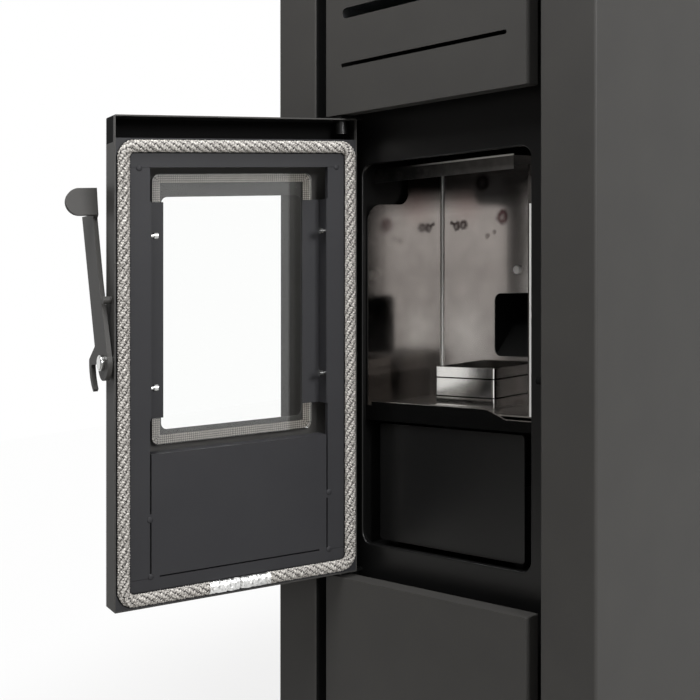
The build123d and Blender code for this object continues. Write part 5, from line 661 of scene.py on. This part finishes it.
# Painted highlight: a near white, barely metallic line along the top of the fold.
fold = put(tree, "ShaderNodeMath", {0: where.outputs["Z"], 1: FOLD_HEIGHT * MM}, operation="GREATER_THAN")
reach = put(tree, "ShaderNodeMapRange",
            {"Value": where.outputs["X"], "From Min": SCALE_LEFT * MM, "From Max": FOLD_RIGHT * MM})
fold_highlight = every(tree, fold, reach, ahead)
metal = put(tree, "ShaderNodeMapRange",
            {"Value": fold_highlight.outputs[0], "To Min": SCALE_METAL, "To Max": FOLD_HIGHLIGHT_METAL})
dull = put(tree, "ShaderNodeMapRange",
           {"Value": flakes.outputs["Fac"], "To Min": SCALE_ROUGH[0], "To Max": SCALE_ROUGH[1]})
wire(tree, shader, {"Base Color": layered(tree, colour.outputs["Result"], [(fold_highlight, FOLD_HIGHLIGHT)]),
                    "Metallic": metal.outputs[0], "Roughness": dull.outputs[0]})
finish(baffle, "baffle_plate")


# Hearth: a folded stainless tray round the pot. Its front is drawn near black and almost without gloss, up to
# a ragged line below its top edge and along the cut at its right, where it is bare bright steel, and the
# floor behind it is bare.
TRAY_BLACK = "#070707"
TRAY_GLOSS = 0.08
TRAY_ROUGH = 0.43
FLOOR_ROUGH = 0.22
CHIP_SIZE = 3
CHIP_LOW = -0.9
CHIP_HIGH = 0.7
HEARTH_FACE = -194.4
HEARTH_EDGE = 411.3
CUT_EDGE = 401.6
CUT_START = 58
CUT_END = 84

tray, tree, shader, spot = new_material("stainless_hearth_dark_front")
where = put(tree, "ShaderNodeSeparateXYZ", {"Vector": spot})
ahead = put(tree, "ShaderNodeMath", {0: where.outputs["Y"], 1: HEARTH_FACE * MM}, operation="LESS_THAN")
chips = put(tree, "ShaderNodeTexNoise", {"Vector": spot, "Scale": per_mm(CHIP_SIZE), "Detail": 3.0})
worn = put(tree, "ShaderNodeMapRange",
           {"Value": chips.outputs["Fac"], "To Min": CHIP_LOW * MM, "To Max": CHIP_HIGH * MM})
along = put(tree, "ShaderNodeMapRange",
            {"Value": where.outputs["X"], "From Min": CUT_START * MM, "From Max": CUT_END * MM,
             "To Min": HEARTH_EDGE * MM, "To Max": CUT_EDGE * MM})
edge = put(tree, "ShaderNodeMath", {0: along.outputs["Result"], 1: worn.outputs[0]}, operation="ADD")
under = put(tree, "ShaderNodeMath", {0: where.outputs["Z"], 1: edge.outputs[0]}, operation="LESS_THAN")
# Near black and almost without gloss on the front, below a ragged line.
dark_front = every(tree, ahead, under)
colour = put(tree, "ShaderNodeMix",
             {"Factor": dark_front.outputs[0], "A": rgb(MIRROR_PALE), "B": rgb(TRAY_BLACK)}, data_type="RGBA")
bare = put(tree, "ShaderNodeMath", {0: 1.0, 1: dark_front.outputs[0]}, operation="SUBTRACT")
dull = put(tree, "ShaderNodeMapRange",
           {"Value": dark_front.outputs[0], "To Min": FLOOR_ROUGH, "To Max": TRAY_ROUGH})
shader.inputs["Specular IOR Level"].default_value = TRAY_GLOSS
wire(tree, shader, {"Base Color": colour.outputs["Result"], "Metallic": bare.outputs[0],
                    "Roughness": dull.outputs[0]})
finish(tray, "hearth_plate")


# Fans and motors: wheels punched and bent from aluminium sheet, which stays a satin pale grey, and
# motors in drawn steel cans, stove-enamelled to a softly shiny dark grey.
aluminium = bare_metal("aluminium_punched", dark="#a9abad", pale="#c9cbcd", rough=0.33, grain=1.0)
finish(aluminium, "exhaust_impeller", "blower_rotor")
motor_enamel = coated("motor_enamel_grey", dark="#4b4d50", pale="#585a5e", rough=0.38, grain=1.0,
                      depth=0.05)
finish(motor_enamel, "auger_motor", "exhaust_motor")


# Igniter: a rod of alumina ceramic, pressed and fired, dry and chalky. It points through the fire
# box's wall at the back of the pot.
fired = coated("alumina_fired", dark="#c9c4ba", pale="#dad6ce", rough=0.6, grain=1.0, depth=0.05)
finish(fired, "igniter")


# Lid: the casing's sheet and coat, on two hinge pins. It closes on a sponge strip stuck round the
# hopper's rim: extruded silicone foam, soft black, with a D-shaped back and fine open pores.
SEAL_LEFT = -152
SEAL_RIGHT = 152
SEAL_FRONT = 8
SEAL_REAR = 202
SEAL_BOTTOM = 994.0
SEAL_TOP = 997.6
SEAL_WIDE = 4.6
SEAL_BEND = 3
SEAL_STEP = 2.0
SEAL_SIDES = 16
SEAL_EDGE = 0.6
SEAL_CROWN = 0.8


def rounded_frame(left, right, foot, head, bend, step, start):
    """Points round an upright frame, clockwise from the foot: (across, height, and the way outward)."""
    line = []

    def run(a, b, out):
        steps = max(1, round(math.dist(a, b) / step))
        for i in range(steps):
            t = i / steps
            line.append((a[0] + (b[0] - a[0]) * t, a[1] + (b[1] - a[1]) * t, *out))

    def turn(middle, first):
        steps = max(2, round(bend * math.pi / 2 / step))
        for i in range(steps):
            angle = first - math.pi / 2 * i / steps
            out = (math.cos(angle), math.sin(angle))
            line.append((middle[0] + bend * out[0], middle[1] + bend * out[1], *out))

    run((start, foot), (left + bend, foot), (0, -1))
    turn((left + bend, foot + bend), -math.pi / 2)
    run((left, foot + bend), (left, head - bend), (-1, 0))
    turn((left + bend, head - bend), math.pi)
    run((left + bend, head), (right - bend, head), (0, 1))
    turn((right - bend, head - bend), math.pi / 2)
    run((right, head - bend), (right, foot + bend), (1, 0))
    turn((right - bend, foot + bend), 0)
    run((right - bend, foot), (start, foot), (0, -1))
    return line


def squared(value, power):
    """A sine or cosine drawn out towards a square: the lower the power, the squarer."""
    return math.copysign(abs(value) ** power, value)


finish(powder_coat, "hopper_lid")
sponge = coated("silicone_sponge_black", dark="#1b1b1b", pale="#262626", rough=0.85, grain=0.8, depth=0.3)
line = rounded_frame(SEAL_LEFT, SEAL_RIGHT, SEAL_FRONT, SEAL_REAR, SEAL_BEND, SEAL_STEP, 0)
points = []
for across, along, out_x, out_y in line:
    for j in range(SEAL_SIDES):
        angle = 2 * math.pi * j / SEAL_SIDES
        side = SEAL_WIDE / 2 * squared(math.cos(angle), SEAL_EDGE)
        up = max(0.0, math.sin(angle)) ** SEAL_CROWN * (SEAL_TOP - SEAL_BOTTOM)
        points.append((Vector((across + out_x * side, along + out_y * side, SEAL_BOTTOM + up)) * MM)[:])
sponge_strip = build("lid_sponge_strip", points, skinned(len(line), SEAL_SIDES, True), "stove",
                     sponge)
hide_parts("lid_seal")


# Controls: a plate in the casing's coat, three push buttons, a smoked acrylic display over its
# lacquered board, and the mains switch and inlet at the back. Buttons, switch and inlet are moulded
# in black ABS with a soft sheen, and the acrylic is as smooth as glass.
BOARD_GREEN = "#0f3a22"
BOARD_PALE = "#1a5433"
BOARD_WEAVE = 2
BOARD_ROUGH = 0.35
ACRYLIC = "#0b0b0c"
ACRYLIC_ROUGH = 0.06
DISPLAY_FACE = 997

finish(powder_coat, "control_panel")
abs_black = coated("abs_moulded_black", dark="#121212", pale="#191919", rough=0.42, grain=0.6, depth=0.05)
finish(abs_black, "power_inlet", "rocker_switch", "button_down", "button_power", "button_up")
board = coated("circuit_board_lacquered", BOARD_GREEN, BOARD_PALE, rough=0.3, grain=BOARD_WEAVE, depth=0.03)
finish(board, "control_board")
display, tree, shader, spot = new_material("acrylic_smoked_on_board")
where = put(tree, "ShaderNodeSeparateXYZ", {"Vector": spot})
face = put(tree, "ShaderNodeMath", {0: where.outputs["Z"], 1: DISPLAY_FACE * MM}, operation="GREATER_THAN")
weave = put(tree, "ShaderNodeTexNoise", {"Vector": spot, "Scale": per_mm(BOARD_WEAVE), "Detail": 2.0})
green = put(tree, "ShaderNodeMix",
            {"Factor": weave.outputs["Fac"], "A": rgb(BOARD_GREEN), "B": rgb(BOARD_PALE)}, data_type="RGBA")
dull = put(tree, "ShaderNodeMapRange",
           {"Value": face.outputs[0], "To Min": BOARD_ROUGH, "To Max": ACRYLIC_ROUGH})
wire(tree, shader, {"Base Color": layered(tree, green.outputs["Result"], [(face, ACRYLIC)]),
                    "Roughness": dull.outputs[0]})
finish(display, "display_module")


# Door: a folded tray in the casing's powder coat, with painted shade, drawn black, in the gap at its top. The
# inner frame welded into it, the clips and the plate below the glass are in black powder. The welds were
# dressed flat but for a few low round spots.
DOOR_ANGLE = math.radians(107.5)
DOOR_X = Vector((math.cos(DOOR_ANGLE), -math.sin(DOOR_ANGLE), 0))
DOOR_IN = Vector((math.sin(DOOR_ANGLE), math.cos(DOOR_ANGLE), 0))
HINGE = Vector((-131.5, -227, 0))
HINGE_ACROSS = 11.5
HINGE_BEHIND = 13
DOOR_THICK = 30
RECESS_FOOT = 712
RECESS_START = 1.0
RECESS_END = 26.0
RECESS_SHADE = "#040404"
INSIDE_DARK = "#29292c"
INSIDE_PALE = "#313133"
INSIDE_ROUGH = 0.55
# Each weld spot: its place across the door and its height
WELDS = ((259.2, 684.2), (26.5, 684.8), (247.2, 311.2), (35.5, 314.2), (246.3, 250.7), (35.8, 249.2))
WELD_RADIUS = 3.4
WELD_HEIGHT = 1.1
WELD_RINGS = 6
WELD_SIDES = 18
WELD_ROUGH = 0.25
WELD_SUNK = 0.1


def door_spot(across, behind, height):
    """A point of the open door in metres, from its hinge edge, its outer face and the floor."""
    at = HINGE + DOOR_X * (across - HINGE_ACROSS) + DOOR_IN * (behind - HINGE_BEHIND)
    return (Vector((at.x, at.y, height)) * MM)[:]


inner_coat = powder_coated("powder_coat_black_inside", INSIDE_DARK, INSIDE_PALE, INSIDE_ROUGH)
finish(inner_coat, "door_inner_frame", "door_lower_plate", "glass_clips")
skin_coat = powder_coated("powder_coat_door_skin")
tree, shader, spot, tone = nodes_of(skin_coat)
depth = put(tree, "ShaderNodeVectorMath", {0: spot, 1: DOOR_IN[:]}, operation="DOT_PRODUCT")
outer_face = DOOR_IN.dot(HINGE) - HINGE_BEHIND
past = put(tree, "ShaderNodeMath", {0: depth.outputs["Value"], 1: (outer_face + RECESS_START) * MM},
           operation="GREATER_THAN")
short = put(tree, "ShaderNodeMath", {0: depth.outputs["Value"], 1: (outer_face + RECESS_END) * MM},
            operation="LESS_THAN")
where = put(tree, "ShaderNodeSeparateXYZ", {"Vector": spot})
top = put(tree, "ShaderNodeMath", {0: where.outputs["Z"], 1: RECESS_FOOT * MM}, operation="GREATER_THAN")
# Painted shade: the inside of the skin in the gap above the frame is drawn black.
blackened(skin_coat, every(tree, past, short, top), RECESS_SHADE)
finish(skin_coat, "door_skin")
points, faces = [], []
for across, height in WELDS:
    first = len(points)
    for i in range(WELD_RINGS):
        swing = math.pi / 2 * i / WELD_RINGS
        for j in range(WELD_SIDES):
            turn = 2 * math.pi * j / WELD_SIDES
            reach = WELD_RADIUS * math.cos(swing)
            reach += WELD_ROUGH * noise.noise((across + math.cos(turn), height + math.sin(turn), swing))
            up = WELD_HEIGHT * math.sin(swing) - WELD_SUNK
            points.append(door_spot(across + reach * math.cos(turn), DOOR_THICK + up,
                                    height + reach * math.sin(turn)))
    points.append(door_spot(across, DOOR_THICK + WELD_HEIGHT - WELD_SUNK, height))
    for i in range(WELD_RINGS - 1):
        a, b = first + i * WELD_SIDES, first + (i + 1) * WELD_SIDES
        faces.extend((a + j, a + (j + 1) % WELD_SIDES, b + (j + 1) % WELD_SIDES, b + j)
                     for j in range(WELD_SIDES))
    last = first + (WELD_RINGS - 1) * WELD_SIDES
    faces.extend((last + j, last + (j + 1) % WELD_SIDES, len(points) - 1) for j in range(WELD_SIDES))
build("door_weld_spots", points, faces, "door", inner_coat)


# Pane: 4 mm glass ceramic, rolled and clear, held behind the window by a clip along each side. The
# fire has left a faint uneven film on it.
PANE_TONE = "#fcfdfc"
PANE_IOR = 1.53
FILM_CLOUD = 40
FILM_ROUGH = 0.03

pane, tree, shader, spot = new_material("glass_ceramic_clear")
shader.inputs["Transmission Weight"].default_value = 1.0
shader.inputs["IOR"].default_value = PANE_IOR
shader.inputs["Base Color"].default_value = rgb(PANE_TONE)
haze = put(tree, "ShaderNodeTexNoise", {"Vector": spot, "Scale": per_mm(FILM_CLOUD), "Detail": 2.0})
film = put(tree, "ShaderNodeMapRange", {"Value": haze.outputs["Fac"], "To Min": 0.0, "To Max": FILM_ROUGH})
wire(tree, shader, {"Roughness": film.outputs[0]})
finish(pane, "door_glass")


# Tape between the pane and the door's outer sheet: woven glass fibre with a sticky back, laid round
# the window. Its plain weave shows through the glass as rows of small dark dots.
TAPE_LEFT = 53
TAPE_RIGHT = 233
TAPE_FOOT = 391.8
TAPE_HEAD = 674.7
TAPE_BEND = 3.0
TAPE_WIDE = 9.6
TAPE_FRONT = 1.7
TAPE_BACK = 4.85
TAPE_START = 143
TAPE_STEP = 0.9
TAPE_SIDES = 20
TAPE_EDGE = 0.35
TAPE_THREAD = 2.4
TAPE_DIRT = 7
TAPE_RELIEF = 0.6
TAPE_DEPTH = 0.3
TAPE_ROUGH = 0.8
GAP_END = 0.05
GAP_START = 0.5
TAPE_FIBRE = "#85807a"
TAPE_FIBRE_PALE = "#a8a29b"
TAPE_GAP = "#3f3b39"

tape_weave, tree, shader, spot = new_material("glass_fibre_tape_woven")
across_yarn = put(tree, "ShaderNodeAttribute", attribute_name="across")
along_yarn = put(tree, "ShaderNodeAttribute", attribute_name="along")
waves = []
for yarn in (across_yarn, along_yarn):
    phase = put(tree, "ShaderNodeMath", {0: yarn.outputs["Fac"], 1: math.pi / TAPE_THREAD},
                operation="MULTIPLY")
    wave = put(tree, "ShaderNodeMath", {0: phase.outputs[0]}, operation="SINE")
    waves.append(put(tree, "ShaderNodeMath", {0: wave.outputs[0]}, operation="ABSOLUTE").outputs[0])
hump = put(tree, "ShaderNodeMath", {0: waves[0], 1: waves[1]}, operation="MULTIPLY")
dirt = put(tree, "ShaderNodeTexNoise", {"Vector": spot, "Scale": per_mm(TAPE_DIRT), "Detail": 3.0})
fibre = put(tree, "ShaderNodeMix",
            {"Factor": dirt.outputs["Fac"], "A": rgb(TAPE_FIBRE), "B": rgb(TAPE_FIBRE_PALE)},
            data_type="RGBA")
solid = put(tree, "ShaderNodeMapRange",
            {"Value": hump.outputs[0], "From Min": GAP_END, "From Max": GAP_START})
colour = put(tree, "ShaderNodeMix",
             {"Factor": solid.outputs[0], "A": rgb(TAPE_GAP), "B": fibre.outputs["Result"]}, data_type="RGBA")
skin = put(tree, "ShaderNodeBump",
           {"Height": hump.outputs[0], "Strength": TAPE_RELIEF, "Distance": TAPE_DEPTH * MM})
wire(tree, shader, {"Base Color": colour.outputs["Result"], "Normal": skin.outputs[0]})
shader.inputs["Roughness"].default_value = TAPE_ROUGH
line = rounded_frame(TAPE_LEFT, TAPE_RIGHT, TAPE_FOOT, TAPE_HEAD, TAPE_BEND, TAPE_STEP, TAPE_START)
middle = (TAPE_FRONT + TAPE_BACK) / 2
points, marks = [], {"across": [], "along": []}
for i, (across, height, out_x, out_z) in enumerate(line):
    for j in range(TAPE_SIDES):
        angle = 2 * math.pi * (j + 0.5) / TAPE_SIDES
        side = TAPE_WIDE / 2 * squared(math.cos(angle), TAPE_EDGE)
        deep = (TAPE_BACK - TAPE_FRONT) / 2 * squared(math.sin(angle), TAPE_EDGE)
        points.append(door_spot(across + out_x * side, middle + deep, height + out_z * side))
        marks["across"].append(side)
        marks["along"].append(i * TAPE_STEP)
tape = build("glass_tape", points, skinned(len(line), TAPE_SIDES, True), "door", tape_weave,
             marks=marks)
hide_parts("glass_seal")


# Rope gasket: one length of glass-fibre rope, plaited from ten flat strands over a core, pressed into the
# groove of the door. Each strand is a bundle of fine shiny yarns. Painted shade darkens each strand where it
# dives under and along its edges, and the core between them.
ROPE_LEFT = 9.5
ROPE_RIGHT = 276.5
ROPE_FOOT = 228.8
ROPE_HEAD = 707.4
ROPE_BEND = 12
ROPE_BEHIND = 31.95
SPLICE_START = 110.4
SPLICE_END = 181.6
SPLICE_LAP = 4
ROPE_HALF_WIDE = 7.0
ROPE_HALF_DEEP = 4.65
ROPE_STEP = 1.1
PLAIT_PITCH = 52
STRANDS = 5
STRAND_HALF_WIDE = 2.95
STRAND_HALF_THICK = 1.2
STRAND_FLATTEN = 0.3
STRAND_SIDES = 10
STRAND_SHADE = 0.35
STRAND_APART = 37
WAY_APART = 150
DIVE = 0.75
WANDER_RUN = 9
WANDER_STRAND = 3.1
WANDER_WAY = 2.3
WANDER_WIDE = 0.35
WANDER_DEEP = 0.25
CORE_HALF_WIDE = 5.2
CORE_HALF_DEEP = 2.9
CORE_SIDES = 12
CORE_SHADE = -0.6
YARNS = 6
YARN_DRAWN = 0.22
YARN_BREAK = (0.33, 0.67)
YARN_RELIEF = 0.9
YARN_DEPTH = 0.5
ROPE_ROUGH = 0.5
CROWN_LIT = 0.7
CREVICE_SHADE = "#1e1b1a"
FIBRE = "#5c5752"
FIBRE_PALE = "#e9e5df"

first_end, last_end = SPLICE_START + SPLICE_LAP, SPLICE_END - SPLICE_LAP
loop = rounded_frame(ROPE_LEFT, ROPE_RIGHT, ROPE_FOOT, ROPE_HEAD, ROPE_BEND, ROPE_STEP, first_end)
line = [p for p in loop if not (p[3] == -1 and p[1] == ROPE_FOOT and first_end < p[0] < last_end)]
points, faces = [], []
marks = {"yarn": [], "along": [], "lit_share": []}
for way in (1, -1):
    for k in range(STRANDS):
        first = len(points)
        for i, (across, height, out_x, out_z) in enumerate(line):
            along = i * ROPE_STEP
            turn = way * 2 * math.pi * along / PLAIT_PITCH + 2 * math.pi * k / STRANDS
            lift = way * math.cos(2 * STRANDS * math.pi * 2 * along / PLAIT_PITCH) * DIVE
            lean = noise.noise((along / WANDER_RUN, k * WANDER_STRAND, way * WANDER_WAY))
            wide = ROPE_HALF_WIDE - STRAND_HALF_THICK - DIVE + WANDER_WIDE * lean
            deep = ROPE_HALF_DEEP - STRAND_HALF_THICK - DIVE + WANDER_DEEP * lean
            c, s = math.cos(turn), math.sin(turn)
            for j in range(STRAND_SIDES):
                a = 2 * math.pi * j / STRAND_SIDES
                rise = STRAND_HALF_THICK * math.sin(a) * (1 - STRAND_FLATTEN * math.cos(a) ** 2) + lift
                side = STRAND_HALF_WIDE * math.cos(a)
                x = (wide + rise) * c - side * s
                y = (deep + rise) * s + side * c * (deep / wide)
                points.append(door_spot(across + out_x * x, ROPE_BEHIND + y, height + out_z * x))
                half = j / STRAND_SIDES * 2
                marks["yarn"].append(min(half, 2 - half))
                marks["along"].append(along + STRAND_APART * k + WAY_APART * (way + 1))
                marks["lit_share"].append(0.5 + 0.5 * lift / DIVE - STRAND_SHADE * abs(math.cos(a)) ** 3)
        faces.extend(tuple(first + n for n in face) for face in skinned(len(line), STRAND_SIDES, False))
first = len(points)
for across, height, out_x, out_z in line:
    for j in range(CORE_SIDES):
        a = 2 * math.pi * j / CORE_SIDES
        x, y = CORE_HALF_WIDE * math.cos(a), CORE_HALF_DEEP * math.sin(a)
        points.append(door_spot(across + out_x * x, ROPE_BEHIND + y, height + out_z * x))
        marks["yarn"].append(0.5)
        marks["along"].append(0.0)
        marks["lit_share"].append(CORE_SHADE)
faces.extend(tuple(first + n for n in face) for face in skinned(len(line), CORE_SIDES, False))

fibre_rope, tree, shader, spot = new_material("glass_fibre_plaited")
shader.inputs["Roughness"].default_value = ROPE_ROUGH
yarn = put(tree, "ShaderNodeAttribute", attribute_name="yarn")
along = put(tree, "ShaderNodeAttribute", attribute_name="along")
lit_share = put(tree, "ShaderNodeAttribute", attribute_name="lit_share")
fine = put(tree, "ShaderNodeMath", {0: yarn.outputs["Fac"], 1: YARNS}, operation="MULTIPLY")
slow = put(tree, "ShaderNodeMath", {0: along.outputs["Fac"], 1: YARN_DRAWN}, operation="MULTIPLY")
flow = put(tree, "ShaderNodeCombineXYZ", {"X": fine.outputs[0], "Y": slow.outputs[0]})
hair = put(tree, "ShaderNodeTexNoise",
           {"Vector": flow.outputs[0], "Scale": 1.0, "Detail": 2.0, "Distortion": 0.4})
streak = put(tree, "ShaderNodeMapRange",
             {"Value": hair.outputs["Fac"], "From Min": YARN_BREAK[0], "From Max": YARN_BREAK[1]})
colour = put(tree, "ShaderNodeMix", {"Factor": streak.outputs[0], "A": rgb(FIBRE), "B": rgb(FIBRE_PALE)},
             data_type="RGBA")
# Painted shade: strands go dark where they dive under and along their edges, and the core is dark.
bright = put(tree, "ShaderNodeMapRange",
             {"Value": lit_share.outputs["Fac"], "From Min": 0.0, "From Max": CROWN_LIT})
colour = put(tree, "ShaderNodeMix",
             {"Factor": bright.outputs[0], "A": rgb(CREVICE_SHADE), "B": colour.outputs["Result"]},
             data_type="RGBA")
skin = put(tree, "ShaderNodeBump",
           {"Height": hair.outputs["Fac"], "Strength": YARN_RELIEF, "Distance": YARN_DEPTH * MM})
wire(tree, shader, {"Base Color": colour.outputs["Result"], "Normal": skin.outputs[0]})
rope = build("rope_plait", points, faces, "door", fibre_rope, marks=marks)
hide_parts("door_gasket")


# Foil sleeve: soft aluminium foil tape, two turns pinched over the joint of the rope by hand, so it
# is crumpled all over, bright on its facets and dark in its creases, with a nip at its middle.
FOIL_MIDDLE = 145.3
FOIL_STEP = 1.3
FOIL_SIDES = 30
FOIL_HALF_WIDE = 6.9
FOIL_HALF_DEEP = 4.6
FOIL_EDGE = 0.8
FOIL_TIGHT = 0.93
FOIL_CRUMPLE = 0.09375
FOIL_CREASE = 3.1
FOIL_ROUND = 2.6
FOIL_FINE_CREASE = 1.3
FOIL_FINE_ROUND = 5
FOIL_FINE_SHARE = 0.6
FOIL_JOG = 0.5
FOIL_JOG_RUN = 2
FOIL_JOG_ROUND = 3
FOIL_JOG_SHIFT = 9
FOIL_NIP = 0.1375
FOIL_NIP_WIDTH = 0.9

rows = round((SPLICE_END - SPLICE_START) / FOIL_STEP)
points = []
for i in range(rows + 1):
    across = SPLICE_START + (SPLICE_END - SPLICE_START) * i / rows
    nip = FOIL_NIP * math.exp(-((across - FOIL_MIDDLE) / FOIL_NIP_WIDTH) ** 2)
    for j in range(FOIL_SIDES):
        angle = 2 * math.pi * j / FOIL_SIDES
        c, s = math.cos(angle), math.sin(angle)
        crease = noise.noise((across / FOIL_CREASE, FOIL_ROUND * c, FOIL_ROUND * s))
        fine = noise.noise((across / FOIL_FINE_CREASE, FOIL_FINE_ROUND * c, FOIL_FINE_ROUND * s))
        crease += FOIL_FINE_SHARE * fine
        pull = min(1.0, FOIL_TIGHT + FOIL_CRUMPLE * crease) - nip
        x = FOIL_HALF_WIDE * pull * squared(c, FOIL_EDGE)
        y = FOIL_HALF_DEEP * pull * squared(s, FOIL_EDGE)
        jog = noise.noise((across / FOIL_JOG_RUN, FOIL_JOG_ROUND * c + FOIL_JOG_SHIFT, FOIL_JOG_ROUND * s))
        aside = FOIL_JOG * jog if 0 < i < rows else 0
        points.append(door_spot(across + aside, ROPE_BEHIND + y, ROPE_FOOT - x))
foil = bare_metal("aluminium_foil_crumpled", dark="#dcdcda", pale="#fbfbfa", rough=0.36, grain=0.9)
sleeve = build("rope_foil_sleeve", points, skinned(rows + 1, FOIL_SIDES, False), "door", foil,
               smooth=False)
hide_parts("gasket_splice")


# Lever: laser-cut from thick plate, with a claw at its foot and a bent tab at its head, and powder
# coated like the casing. It turns on the shouldered stud in the door's free edge.
finish(powder_coat, "handle_lever")

bpy.context.scene.view_settings.view_transform = "Standard"
